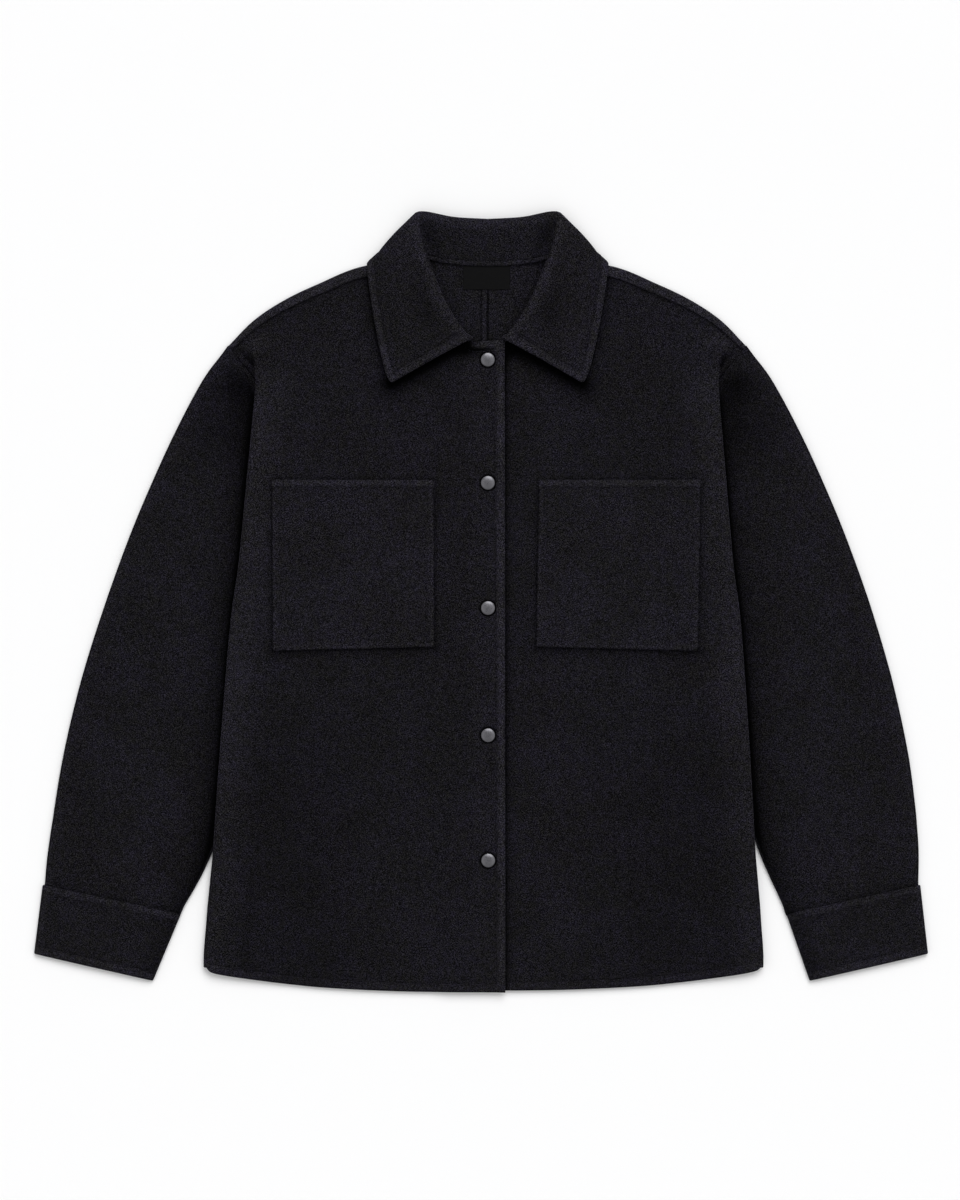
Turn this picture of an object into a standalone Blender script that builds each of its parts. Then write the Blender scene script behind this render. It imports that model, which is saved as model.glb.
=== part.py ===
import math

import bpy
from mathutils import Vector
from mathutils.bvhtree import BVHTree

# Sizes are in millimetres. The jacket lies on its back: +X is the viewer's right,
# +Y runs up to the collar and +Z stands off the floor. A half point is (half, up, height),
# where half is the distance out from the jacket's middle line on its own side.
MM = 0.001
CLOTH = 2.0             # double-faced wool
COLLAR_CLOTH = 2.2
SEAM_GAP = 0.3          # clear space where two pieces meet
WELT_LIFT = 0.4         # how far a felled edge stands up
WELT_WIDTH = 7.5        # width of a felled edge
WELT_STEP = 1.2         # run from the felled edge down to the cloth

# The jacket's middle line, which leans a little on the floor.
MIDDLE_SHIFT = 5.1
MIDDLE_LEAN = 0.006

# Heights of the middle of each wall above the floor.
BACK_LAYER = CLOTH / 2
FRONT_LAYER = BACK_LAYER + CLOTH + SEAM_GAP
OVER_LAYER = FRONT_LAYER + CLOTH + SEAM_GAP
SLEEVE_LAYER = FRONT_LAYER + 0.2
CUFF_CLOTH = 2.2
CUFF_LAYER = 3.7

# Body.
HEM_MIDDLE = -375.0
CORNER_HALF = 269.0
CORNER_UP = -349.0
UNDER_HEM_RISE = 1.5    # the under front and the back end this far above the over front's hem
NECK_FRONT_UP = 250.0
EDGE_TOP = 16.9         # over front's edge, past the middle line, at the neck and at the hem
EDGE_HEM = 21.2
UNDER_WIDTH = 28.0      # how far the under front runs back beneath that edge
OVER_LEVEL = 8.0        # a line down the over front that lies level on the under front
OVER_RAMP = (30.0, 54.0)    # the over front comes down to the back between these halves
HEM_CURVE = (           # half, up
    (72.0, -374.3),
    (143.0, -371.2),
    (185.4, -367.4),
    (216.7, -363.5),
    (245.0, -359.7),
    (261.0, -355.5),
)
SIDE_FOLD = (           # half, up: the front's side edge, hem corner to armhole
    (268.7, -330.0),
    (263.4, -267.2),
    (260.0, -226.8),
    (252.3, -108.3),
    (245.0, -17.0),
    (237.4, 40.9),
    (228.2, 143.0),
    (223.6, 195.0),
)
ARMHOLE = (             # half, up: the seam of the sleeve, shoulder end to underarm
    (249.5, 246.0),
    (222.9, 214.3),
    (207.0, 147.0),
    (199.0, 80.0),
    (192.0, 46.0),
    (179.0, 25.0),
)
ARMHOLE_STEPS = (3, 8)  # points on its straight top, in sight, and on the curve under the front
SIDE_CLIMB = (          # climb, up: how far the front rises to its side fold, over the sleeve
    (3.2, -349.0),
    (3.4, -310.0),
    (6.4, -245.0),
    (7.2, -180.0),
    (7.4, 0.0),
    (7.4, 130.0),
    (6.7, 170.0),
    (5.4, 200.0),
    (4.6, 214.0),
    (1.2, 240.0),
    (0.0, 285.0),
)
SIDE_RUN = 95.0         # width of the climb
SIDE_REST = (           # layer, up: what the turned edge of the side fold lies on
    (FRONT_LAYER, -292.0),
    (FRONT_LAYER + 2.6, -246.0),
)
SIDE_TURN = (52, 14, -24, -62)      # degrees round the side fold, from its top to its end
STEP_RUN = (8.0, 4.0)   # the fold comes down to the armhole inside and outside its line
SHOULDER_GAP = 0.8
SHOULDER_END = 1.0      # the front's shoulder seam runs on this far to the armhole
ARMHOLE_GAP = 0.7
SIDE_GAP = 3.8          # back's side seam to the sleeve, under the front
SHOULDER = (            # half, up: outline of the shoulder, neck to shoulder end
    (59.0, 331.0),
    (120.0, 323.6),
    (163.0, 306.6),
    (195.5, 291.0),
    (224.4, 271.8),
    (249.0, 247.0),
)
BAND_WIDTH = (10.6, 5.0)    # the back turns over the shoulder: width at the neck and the armhole
FRONT_NECK = ((15.5, 250.8), (26.0, 262.5), (43.5, 290.0))      # half, up
BACK_NECK = ((0.0, 325.0), (30.0, 325.8), (50.0, 328.0))        # half, up
CENTRE_SEAM_HALF = 4.0  # half width of the felled centre-back seam
FELLED_FROM = 260.0     # it stands up above this, where the fronts don't cover it
BACK_INSET = 1.0        # the back's hem lies this far inside the fronts' hem
SHOULDER_TURN = (-54, -18, 18, 54, 90)  # degrees round the turn over the shoulder
BAND_SHARES = (0.45, 1.0)   # rows across the turned band

# Points in each grid.
FRONT_ACROSS = 9
FRONT_EDGE = 17
FRONT_NECK_STEPS = 8
FRONT_SIDE = 21
FRONT_ARMHOLE = 4
BACK_SIDE = 16
BACK_SHOULDER = 9
BACK_NECK_MIDDLE = 0.5
SLEEVE_RINGS = 18
CUFF_ACROSS = 7
POCKET_POINTS = 11
LABEL_POINTS = (3, 4)    # down, across
CURVE_STEPS = 16        # points between two given ones on a smooth curve

# Sleeves and cuffs.
SLEEVE_OUTER = (        # half, up: the fold from shoulder to cuff
    (249.5, 246.0),
    (273.5, 214.3),
    (303.8, 156.5),
    (338.0, 79.4),
    (366.4, 2.4),
    (390.0, -74.6),
    (407.3, -151.7),
    (417.9, -228.7),
    (420.4, -270.6),
)
SLEEVE_INNER = (        # half, up: the fold from underarm to cuff
    (179.0, 25.0),
    (222.0, -120.0),
    (260.0, -238.3),
    (290.0, -299.0),
)
SLEEVE_SWING = (         # sideways, share of the length: how both sleeves lie over to one side
    (0.0, 0.0),
    (1.2, 0.25),
    (1.8, 0.5),
    (1.1, 0.78),
    (0.4, 0.88),
    (-0.6, 0.935),
    (-2.4, 1.0),
)
LEFT_TRIM = 3.8         # the left sleeve is folded this much narrower at its inner side
LEFT_CUFF_TRIM = (4.5, 0.8)     # and its cuff, at the top and at the bottom
CUFF_TOP = ((422.3, -271.6), (289.0, -299.6))       # half, up: outer and inner corners
CUFF_BOTTOM = ((429.9, -336.6), (316.8, -362.6))

# Pockets: half, up of the corners.
POCKET_CORNERS = ((49.9, 118.0), (206.8, 118.0), (205.1, -47.2), (48.1, -43.3))
POCKET_GAP = 0.8        # over the front, which bends beneath the pocket
ABOVE_ALL = 50.0        # a height clear of every layer

# Snaps, down the over front.
SNAP_INSET = 16.4       # from the front edge
SNAP_HEIGHTS = (234.5, 115.1, -5.3, -127.6, -248.0)
SNAP_PROFILE = (        # radius, height of the cap's rim and dome
    (6.2, 0.0),
    (6.9, 0.5),
    (6.9, 1.0),
    (6.1, 1.7),
    (4.2, 2.3),
    (2.0, 2.6),
)
SNAP_SIDES = 18

# Bare label inside the neck: x and up of its corners, and its own thickness.
LABEL_LEFT = -24.5
LABEL_RIGHT = 20.7
LABEL_TOP = 324.0
LABEL_BOTTOM = 300.5
LABEL_CLOTH = 0.6

SLEEVE_CROWN = 6.0      # how far the sleeve's upper side swells
CROWN_ENDS = 0.25       # share of the sleeve's length over which the swell starts and ends
CROWN_LOSS = 0.8        # share of the swell that is gone at the cuff
CROWN_POWER = 0.8       # below 1 the swell is fuller than a sine
CUFF_CROWN = 1.2

# Collar: one row for each section from its front end to the centre back. Each gives half, up
# and height of the neck seam, the roll, the middle of the fall and the outer edge.
COLLAR_SECTIONS = (
    # seam, roll, fall, edge
    ((17.5, 250.8, 8.9), (14.0, 254.0, 12.4), (54.0, 232.5, 12.5), (92.4, 210.4, 9.5)),
    ((27.0, 262.5, 8.6), (23.1, 265.0, 14.2), (62.0, 247.0, 15.0), (98.0, 223.0, 9.0)),
    ((43.5, 290.0, 7.2), (39.5, 293.0, 16.2), (74.0, 275.0, 16.5), (105.0, 253.0, 8.5)),
    ((56.5, 322.0, 5.8), (53.5, 328.0, 17.0), (86.0, 310.0, 16.5), (111.5, 290.0, 8.0)),
    ((57.5, 329.5, 5.8), (60.0, 349.0, 16.5), (92.0, 333.0, 14.0), (116.0, 319.0, 7.2)),
    ((52.0, 331.0, 4.8), (66.3, 370.6, 14.5), (95.0, 348.0, 8.0), (116.5, 329.0, 3.4)),
    ((40.0, 329.5, 3.7), (59.5, 373.8, 13.2), (74.0, 365.5, 5.0), (90.0, 337.0, 1.4)),
    ((20.0, 327.6, 3.1), (30.0, 367.4, 12.8), (36.0, 364.8, 4.2), (46.0, 334.5, 1.3)),
    ((0.0, 326.8, 2.9), (0.0, 364.8, 12.8), (0.0, 364.0, 4.2), (0.0, 332.0, 1.3)),
)
COLLAR_STEPS = 17       # sections on each side of the centre back
COLLAR_POINTS = 12      # points from the neck seam to the outer edge
COLLAR_GUIDES = 4
STAND_SHARE = 0.55      # where the stand's middle lies between seam and roll

WOOL_COLOUR = (0.0098, 0.0092, 0.0122, 1.0)
METAL_COLOUR = (0.21, 0.21, 0.225, 1.0)
RIBBON_COLOUR = (0.006, 0.006, 0.007, 1.0)
WOOL_ROUGHNESS = 0.95
METAL_ROUGHNESS = 0.35
RIBBON_ROUGHNESS = 0.6


def material(name, colour, roughness, metallic):
    finish = bpy.data.materials.new(name)
    finish.use_nodes = True
    shader = finish.node_tree.nodes["Principled BSDF"]
    shader.inputs["Base Color"].default_value = colour
    shader.inputs["Roughness"].default_value = roughness
    shader.inputs["Metallic"].default_value = metallic
    return finish


def flat(points):
    return [Vector((half, up, 0.0)) for half, up in points]


def smooth(value):
    value = min(1.0, max(0.0, value))
    return value * value * (3.0 - 2.0 * value)


def even(count):
    return [step / (count - 1) for step in range(count)]


def welted(length, count):
    """Fractions of a length, with the first steps at a felled edge and the rest even."""
    band = WELT_WIDTH / length
    inner = (WELT_WIDTH + WELT_STEP) / length
    return [0.0, band] + [inner + (1.0 - inner) * step for step in even(count - 2)]


def curve(points, fractions):
    """Points at fractions of the length of a smooth curve through the given points."""
    ends = [2 * points[0] - points[1]] + list(points) + [2 * points[-1] - points[-2]]
    dense = [points[0]]
    for before, start, finish, after in zip(ends, ends[1:], ends[2:], ends[3:]):
        for step in range(1, CURVE_STEPS + 1):
            t = step / CURVE_STEPS
            dense.append(0.5 * (
                2 * start
                + (finish - before) * t
                + (2 * before - 5 * start + 4 * finish - after) * t ** 2
                + (3 * start - before - 3 * finish + after) * t ** 3
            ))
    lengths = [0.0]
    for one, two in zip(dense, dense[1:]):
        lengths.append(lengths[-1] + (two - one).length)
    found = []
    place = 0
    for fraction in fractions:
        wanted = fraction * lengths[-1]
        while place < len(dense) - 2 and lengths[place + 1] < wanted:
            place += 1
        share = (wanted - lengths[place]) / (lengths[place + 1] - lengths[place])
        found.append(dense[place].lerp(dense[place + 1], share))
    return found


def value_at(table, up):
    """First column at a height, from rows that run up or down, carried on past the ends."""
    rows = sorted(table, key=lambda row: row[1])
    for low, high in zip(rows, rows[1:]):
        if up <= high[1]:
            break
    share = (up - low[1]) / (high[1] - low[1])
    return low[0] + (high[0] - low[0]) * share


def patch(bottom, top, left, right, across, along):
    """Grid of points inside four edges that meet at their ends."""
    rows = []
    for v, west, east in zip(along, left, right):
        row = []
        for u, south, north in zip(across, bottom, top):
            corners = bottom[0].lerp(bottom[-1], u).lerp(top[0].lerp(top[-1], u), v)
            row.append(south.lerp(north, v) + west.lerp(east, u) - corners)
        rows.append(row)
    return rows


def lay(side, point):
    """Place a half point on its side of the jacket's middle line, in metres."""
    middle = MIDDLE_SHIFT + MIDDLE_LEAN * point.y
    return Vector((middle + side * point.x, point.y, point.z)) * MM


def laid(side, rows):
    """Place a grid of half points, which may have empty places."""
    return [[point and lay(side, point) for point in row] for row in rows]


def sheet_mesh(rows, closed):
    """Points and faces of a grid whose rows may have empty places."""
    points = []
    index = {}
    for r, row in enumerate(rows):
        for c, point in enumerate(row):
            if point is not None:
                index[r, c] = len(points)
                points.append(point)
    faces = []
    width = len(rows[0])
    for r in range(len(rows) - 1):
        for c in range(width if closed else width - 1):
            near = (c + 1) % width
            corners = ((r, c), (r, near), (r + 1, near), (r + 1, c))
            if all(corner in index for corner in corners):
                faces.append([index[corner] for corner in corners])
    return points, faces


def cloth(name, rows, thickness, finish, closed=False):
    """A wall of even thickness on both sides of a grid of points in metres."""
    points, faces = sheet_mesh(rows, closed)
    mesh = bpy.data.meshes.new(name)
    mesh.from_pydata(points, [], faces)
    mesh.shade_smooth()
    mesh.materials.append(finish)
    piece = bpy.data.objects.new(name, mesh)
    bpy.context.collection.objects.link(piece)
    wall = piece.modifiers.new("wall", "SOLIDIFY")
    wall.thickness = thickness * MM
    wall.offset = 0.0
    wall.use_even_offset = True
    wall.use_quality_normals = True
    return piece


def shoulder_points(fractions):
    """Points of the shoulder outline and the directions straight out from it."""
    points = curve(flat(SHOULDER), fractions)
    outward = []
    for number, point in enumerate(points):
        ahead = points[min(number + 1, len(points) - 1)] - points[max(number - 1, 0)]
        outward.append(Vector((-ahead.y, ahead.x, 0.0)).normalized())
    return points, outward


def armhole_line():
    """The seam of the sleeve: straight where it shows, then a curve down to the underarm."""
    top, low = ARMHOLE_STEPS
    seam = flat(ARMHOLE)
    return [seam[0].lerp(seam[1], step) for step in even(top)] + curve(seam[1:], even(low))[1:]


def band_width(fraction):
    return BAND_WIDTH[0] + (BAND_WIDTH[1] - BAND_WIDTH[0]) * fraction ** 3


def fold_half(up):
    """Half width of the front's side fold."""
    return value_at(SIDE_FOLD, up)


def fold_climb(up):
    return max(0.0, value_at(SIDE_CLIMB, up))


def fold_bend(up):
    """Radius of the side fold, from its top down to what its turned edge lies on."""
    low, high = SIDE_REST[0][0], SIDE_REST[1][0]
    rest = min(high, max(low, value_at(SIDE_REST, up)))
    return (FRONT_LAYER + fold_climb(up) - rest) / 2


def front_height(half, up):
    """Height of the front's wall: it climbs to the side fold and drops outside it to the armhole."""
    fold = fold_half(up)
    climb = fold_climb(up) * smooth((half - fold + SIDE_RUN) / SIDE_RUN)
    if up > ARMHOLE[1][1]:
        inside, outside = STEP_RUN
        climb *= 1.0 - smooth((half - fold + inside) / (inside + outside))
    return FRONT_LAYER + climb


def fold_turn(edge):
    """Points that carry the front round its side fold."""
    bend = fold_bend(edge.y)
    turn = []
    for angle in SIDE_TURN:
        reach = bend * math.cos(math.radians(angle))
        drop = bend * (1.0 - math.sin(math.radians(angle)))
        turn.append(edge + Vector((reach, 0.0, -drop)))
    return turn


def front_rows(over):
    """Grid of the over front or the under front, as half points."""
    if over:
        edge_hem, edge_top, hem_rise = -EDGE_HEM, -EDGE_TOP, 0.0
    else:
        edge_hem, edge_top, hem_rise = EDGE_HEM - UNDER_WIDTH, EDGE_TOP - UNDER_WIDTH, UNDER_HEM_RISE
    corner = Vector((CORNER_HALF - CLOTH / 2 - fold_bend(CORNER_UP), CORNER_UP, 0.0))
    start = Vector((edge_hem, HEM_MIDDLE + hem_rise, 0.0))
    width = corner.x - start.x
    across = [0.0, WELT_WIDTH / width, (WELT_WIDTH + WELT_STEP) / width]
    across += [(half - start.x) / width for half in (OVER_LEVEL,) + OVER_RAMP]
    ramp_end = across[-1]
    across += [ramp_end + (1.0 - ramp_end) * step for step in even(FRONT_ACROSS)[1:]]

    hem = [start] + [Vector((half, up + hem_rise, 0.0)) for half, up in HEM_CURVE] + [corner]
    bottom = curve(hem, across)

    outline, outward = shoulder_points(across)
    top = [
        point - direction * (band_width(step) + SHOULDER_GAP)
        for point, direction, step in zip(outline, outward, across)
    ]

    neck_front = Vector((edge_top, NECK_FRONT_UP - hem_rise, 0.0))
    edge_length = neck_front.y - start.y
    left = [start.lerp(neck_front, step) for step in welted(edge_length, FRONT_EDGE)]
    left += curve([neck_front] + flat(FRONT_NECK) + [top[0]], even(FRONT_NECK_STEPS))[1:]

    top[-1] += Vector((outward[-1].y, -outward[-1].x, 0.0)) * SHOULDER_END
    tucked = Vector((ARMHOLE[1][0] - ARMHOLE_GAP - CLOTH, ARMHOLE[1][1] + ARMHOLE_GAP, 0.0))
    fold = [Vector((half - CLOTH / 2 - fold_bend(up), up, 0.0)) for half, up in SIDE_FOLD]
    right = curve([corner] + fold + [tucked], welted(tucked.y - corner.y, FRONT_SIDE))
    turned = len(right) - 1
    right += [tucked.lerp(top[-1], step) for step in even(FRONT_ARMHOLE)[1:]]

    along = even(len(left))
    rows = patch(bottom, top, left, right, across, along)
    for number, row in enumerate(rows):
        for column, point in enumerate(row):
            point.z = front_height(point.x, point.y)
            if over:
                climb = (OVER_RAMP[1] - point.x) / (OVER_RAMP[1] - OVER_RAMP[0])
                point.z += (OVER_LAYER - FRONT_LAYER) * min(1.0, max(0.0, climb))
            at_hem = number < 2 and (over or point.x > EDGE_HEM)
            at_edge = over and column < 2
            if at_hem or at_edge:
                point.z += WELT_LIFT
        row += fold_turn(row[-1]) if number < turned else [None] * len(SIDE_TURN)
    return rows


def back_rows():
    """Grid of half the back, with the turn over the shoulder, as half points."""
    bend = (FRONT_LAYER - BACK_LAYER) / 2
    inset = bend + CLOTH / 2
    middle = SEAM_GAP / 2
    corner = Vector((CORNER_HALF - BACK_INSET, CORNER_UP + BACK_INSET, 0.0))
    start = Vector((middle, HEM_MIDDLE + UNDER_HEM_RISE, 0.0))
    width = corner.x - start.x

    neck_half = SHOULDER[0][0]
    felled_half = CENTRE_SEAM_HALF + WELT_STEP
    neck_steps = [0.0, CENTRE_SEAM_HALF / neck_half, felled_half / neck_half, BACK_NECK_MIDDLE]
    shoulder_steps = even(BACK_SHOULDER)
    outline, outward = shoulder_points(shoulder_steps)
    turn = [point - direction * inset for point, direction in zip(outline, outward)]
    neck = flat(BACK_NECK) + [turn[0]]
    neck[0].x = middle
    top = curve(neck, neck_steps) + turn

    across = [(point.x - middle) / (top[-1].x - middle) for point in top]
    hem = [start] + [Vector((half - BACK_INSET, up + UNDER_HEM_RISE, 0.0)) for half, up in HEM_CURVE]
    bottom = curve(hem + [corner], across)

    side = flat(SIDE_FOLD[:2]) + flat(reversed(SLEEVE_INNER[:3]))
    side = curve([corner] + [point - Vector((SIDE_GAP, 0.0, 0.0)) for point in side], even(BACK_SIDE))
    seam = [point - Vector((ARMHOLE_GAP, 0.0, 0.0)) for point in reversed(armhole_line())]
    right = side + seam[1:-1] + [top[-1]]
    left = [start.lerp(top[0], step) for step in even(len(right))]

    rows = patch(bottom, top, left, right, across, even(len(right)))
    for row in rows:
        for column, point in enumerate(row):
            felled = column < 2 and point.y > FELLED_FROM
            point.z = BACK_LAYER + (WELT_LIFT if felled else 0.0)
    bare = [None] * len(neck_steps)
    for angle in SHOULDER_TURN:
        reach = bend * math.cos(math.radians(angle))
        height = BACK_LAYER + bend + bend * math.sin(math.radians(angle))
        rows.append(bare + [
            Vector((point.x, point.y, height)) + direction * reach
            for point, direction in zip(turn, outward)
        ])
    for share in BAND_SHARES:
        rows.append(bare + [
            Vector((point.x, point.y, FRONT_LAYER)) - direction * share * (band_width(step) - inset)
            for point, direction, step in zip(turn, outward, shoulder_steps)
        ])
    return rows


def tube_ring(upper, low, high, crown):
    """A flattened ring: along the given line on top, round its ends and back below."""
    bend = (high - low) / 2
    start = (upper[0] - upper[1]).normalized()
    finish = (upper[-1] - upper[-2]).normalized()
    ring = [Vector((point.x, point.y, high + swell)) for point, swell in zip(upper, crown)]
    for end, direction, turns in ((upper[-1], finish, (45, 0, -45)), (upper[0], start, (-45, 0, 45))):
        for angle in turns:
            reach = direction * bend * math.cos(math.radians(angle))
            height = low + bend + bend * math.sin(math.radians(angle))
            ring.append(Vector((end.x, end.y, height)) + reach)
        if turns[0] == 45:
            ring += [Vector((point.x, point.y, low)) for point in reversed(upper)]
    return ring


def inner_fold(side):
    """The sleeve's fold from underarm to cuff, on its side."""
    trim = LEFT_TRIM if side > 0 else 0.0
    return SLEEVE_INNER[:2] + tuple((half + trim, up) for half, up in SLEEVE_INNER[2:])


def sleeve_crown(point, station, fold):
    """Swell of the sleeve's upper side, from its outer fold to the body or its inner fold."""
    outer = value_at(SLEEVE_OUTER, point.y)
    inner = max(fold_half(point.y) + CLOTH, value_at(fold, point.y))
    share = min(1.0, max(0.0, (outer - point.x) / (outer - inner)))
    lower = smooth((station - 1.0 + CROWN_ENDS) / CROWN_ENDS)
    ends = smooth(station / CROWN_ENDS) * (1.0 - CROWN_LOSS * lower)
    return SLEEVE_CROWN * ends * math.sin(math.pi * share) ** CROWN_POWER


def sleeve_rows(side):
    """Rings of the sleeve from the armhole to the cuff, as half points."""
    stations = even(SLEEVE_RINGS)
    outer = curve(flat(SLEEVE_OUTER), stations)
    fold = inner_fold(side)
    inner = curve(flat(fold), stations)
    inset = (SLEEVE_LAYER - BACK_LAYER) / 2 + CLOTH / 2
    seam = armhole_line()
    spread = even(len(seam))
    bow = [point - seam[0].lerp(seam[-1], step) for point, step in zip(seam, spread)]
    rows = []
    for station, far, near in zip(stations, outer, inner):
        line = [
            far.lerp(near, step) + hollow * (1.0 - station) ** 3
            for step, hollow in zip(spread, bow)
        ]
        line[0] += (line[1] - line[0]).normalized() * inset
        line[-1] += (line[-2] - line[-1]).normalized() * inset
        shift = Vector((value_at(SLEEVE_SWING, station), 0.0, 0.0))
        crown = [sleeve_crown(point, station, fold) for point in line]
        rows.append((tube_ring(line, BACK_LAYER, SLEEVE_LAYER, crown), shift))
    return rows


def cuff_rows(side):
    """Rings of the cuff from its top seam to its lower edge, as half points."""
    inset = (CUFF_LAYER - CUFF_CLOTH / 2) / 2 + CUFF_CLOTH / 2
    top = flat(CUFF_TOP)
    bottom = flat(CUFF_BOTTOM)
    if side > 0:
        top[1].x += LEFT_CUFF_TRIM[0]
        bottom[1].x += LEFT_CUFF_TRIM[1]
    swing = Vector((SLEEVE_SWING[-1][0], 0.0, 0.0))
    length = (bottom[0] - top[0]).length
    band = WELT_WIDTH / length
    step_in = (WELT_WIDTH + WELT_STEP) / length
    rows = []
    for step in (0.0, band, step_in, 0.5, 1.0 - step_in, 1.0 - band, 1.0):
        far = top[0].lerp(bottom[0], step)
        near = top[1].lerp(bottom[1], step)
        inward = (near - far).normalized() * inset
        line = [(far + inward).lerp(near - inward, share) for share in even(CUFF_ACROSS)]
        welt = WELT_LIFT if min(step, 1.0 - step) <= band else 0.0
        crown = [welt + CUFF_CROWN * math.sin(math.pi * share) for share in even(CUFF_ACROSS)]
        ring = tube_ring(line, CUFF_CLOTH / 2, CUFF_LAYER, crown)
        rows.append((ring, swing))
    return rows


def swung(side, rows):
    """Lay rings on their side, with the swing that moves both sleeves the same way."""
    return [[lay(side, point) + shift * MM for point in ring] for ring, shift in rows]


def collar_rows():
    """Grid of the whole collar, from one front end round the neck to the other, in metres."""
    guides = []
    for guide in range(COLLAR_GUIDES):
        guides.append(curve([Vector(row[guide]) for row in COLLAR_SECTIONS], even(COLLAR_STEPS)))
    half = []
    for seam, roll, fall, edge in zip(*guides):
        stand = seam.lerp(roll, STAND_SHARE)
        half.append(curve([seam, stand, roll, fall, edge], even(COLLAR_POINTS)))
    left = [[lay(-1, point) for point in section] for section in half]
    right = [[lay(1, point) for point in section] for section in half]
    return left + right[-2::-1]


def pocket_rows(side, over):
    """Grid of a pocket, lifted off the points of the front that it lies on."""
    points, faces = sheet_mesh(front_rows(over), False)
    ground = BVHTree.FromPolygons(points, faces)
    corners = [Vector((half, up, 0.0)) for half, up in POCKET_CORNERS]
    height = corners[0].y - corners[3].y
    rows = []
    for number, down in enumerate(welted(height, POCKET_POINTS)):
        row = []
        for across in even(POCKET_POINTS):
            point = corners[0].lerp(corners[1], across).lerp(corners[3].lerp(corners[2], across), down)
            found = ground.ray_cast(point + Vector((0.0, 0.0, ABOVE_ALL)), Vector((0.0, 0.0, -1.0)))[0]
            point.z = found.z + CLOTH + POCKET_GAP
            if number < 2:
                point.z += WELT_LIFT
            row.append(lay(side, point))
        rows.append(row)
    return rows


def snap(name, up, finish):
    """A domed cap turned about its own middle, just clear of the over front."""
    share = (up - HEM_MIDDLE) / (NECK_FRONT_UP - HEM_MIDDLE)
    edge = EDGE_HEM + (EDGE_TOP - EDGE_HEM) * share
    place = lay(1, Vector((edge - SNAP_INSET, up, OVER_LAYER + CLOTH / 2 + SEAM_GAP)))
    points = []
    for radius, height in SNAP_PROFILE:
        for number in range(SNAP_SIDES):
            angle = math.tau * number / SNAP_SIDES
            points.append(Vector((radius * math.cos(angle), radius * math.sin(angle), height)) * MM)
    faces = [list(reversed(range(SNAP_SIDES)))]
    for ring in range(len(SNAP_PROFILE) - 1):
        for number in range(SNAP_SIDES):
            near = (number + 1) % SNAP_SIDES
            low, high = ring * SNAP_SIDES, (ring + 1) * SNAP_SIDES
            faces.append([low + number, low + near, high + near, high + number])
    faces.append([(len(SNAP_PROFILE) - 1) * SNAP_SIDES + number for number in range(SNAP_SIDES)])
    mesh = bpy.data.meshes.new(name)
    mesh.from_pydata(points, [], faces)
    mesh.shade_smooth()
    mesh.materials.append(finish)
    piece = bpy.data.objects.new(name, mesh)
    piece.location = place
    bpy.context.collection.objects.link(piece)


def label(finish):
    """The bare ribbon on the inside of the back, under the neck seam."""
    height = CLOTH + WELT_LIFT + SEAM_GAP + LABEL_CLOTH / 2
    rows = []
    for down in even(LABEL_POINTS[0]):
        up = LABEL_TOP + (LABEL_BOTTOM - LABEL_TOP) * down
        rows.append([
            lay(1, Vector((LABEL_LEFT + (LABEL_RIGHT - LABEL_LEFT) * step, up, height)))
            for step in even(LABEL_POINTS[1])
        ])
    cloth("neck_label", rows, LABEL_CLOTH, finish)


def build():
    for old in list(bpy.data.objects):
        bpy.data.objects.remove(old, do_unlink=True)
    wool = material("wool", WOOL_COLOUR, WOOL_ROUGHNESS, 0.0)
    metal = material("snap_metal", METAL_COLOUR, METAL_ROUGHNESS, 1.0)
    ribbon = material("ribbon", RIBBON_COLOUR, RIBBON_ROUGHNESS, 0.0)

    for name, side, over in (("right", -1, True), ("left", 1, False)):
        cloth("back_" + name, laid(side, back_rows()), CLOTH, wool)
        cloth("front_" + name, laid(side, front_rows(over)), CLOTH, wool)
        cloth("sleeve_" + name, swung(side, sleeve_rows(side)), CLOTH, wool, closed=True)
        cloth("cuff_" + name, swung(side, cuff_rows(side)), CUFF_CLOTH, wool, closed=True)
        cloth("pocket_" + name, pocket_rows(side, over), CLOTH, wool)
    cloth("collar", collar_rows(), COLLAR_CLOTH, wool)
    for number, up in enumerate(SNAP_HEIGHTS, start=1):
        snap("snap_%d" % number, up, metal)
    label(ribbon)


build()
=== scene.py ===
import math

import bpy
import numpy as np
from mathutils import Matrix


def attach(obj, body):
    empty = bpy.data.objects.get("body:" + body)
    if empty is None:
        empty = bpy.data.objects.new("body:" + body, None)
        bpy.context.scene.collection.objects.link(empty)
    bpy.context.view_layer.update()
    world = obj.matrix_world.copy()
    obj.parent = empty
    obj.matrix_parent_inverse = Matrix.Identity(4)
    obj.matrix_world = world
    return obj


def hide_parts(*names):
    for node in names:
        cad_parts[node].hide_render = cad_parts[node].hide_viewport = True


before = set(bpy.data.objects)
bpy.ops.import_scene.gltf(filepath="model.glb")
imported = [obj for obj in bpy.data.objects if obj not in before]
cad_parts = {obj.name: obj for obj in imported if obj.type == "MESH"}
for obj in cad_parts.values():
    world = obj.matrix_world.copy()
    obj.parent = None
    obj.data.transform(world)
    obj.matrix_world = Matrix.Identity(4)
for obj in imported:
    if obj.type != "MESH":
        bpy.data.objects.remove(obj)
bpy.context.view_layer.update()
print("stage: frame loaded,", len(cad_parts), "nodes")

mm = 0.001

# Sizes are millimetres, as in the part: half is the distance out from the jacket's
# middle line, up runs to the collar, height stands off the floor.
jacket = {
    "cloth": 2.0,
    "middleShift": 5.45, "middleLean": 0.006,      # the middle line leans a little
    "backLayer": 1.0, "frontLayer": 3.3, "overLayer": 5.6, "sleeveLayer": 3.5,
}


def smooth(value):
    value = np.clip(value, 0.0, 1.0)
    return value * value * (3.0 - 2.0 * value)


def ease(value, start, finish):     # 0 at the start, 1 at the finish
    return smooth((value - start) / (finish - start))


def hump(distance, width):      # soft hump, 1 in its middle
    return np.exp(-(distance / width) ** 2)


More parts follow.
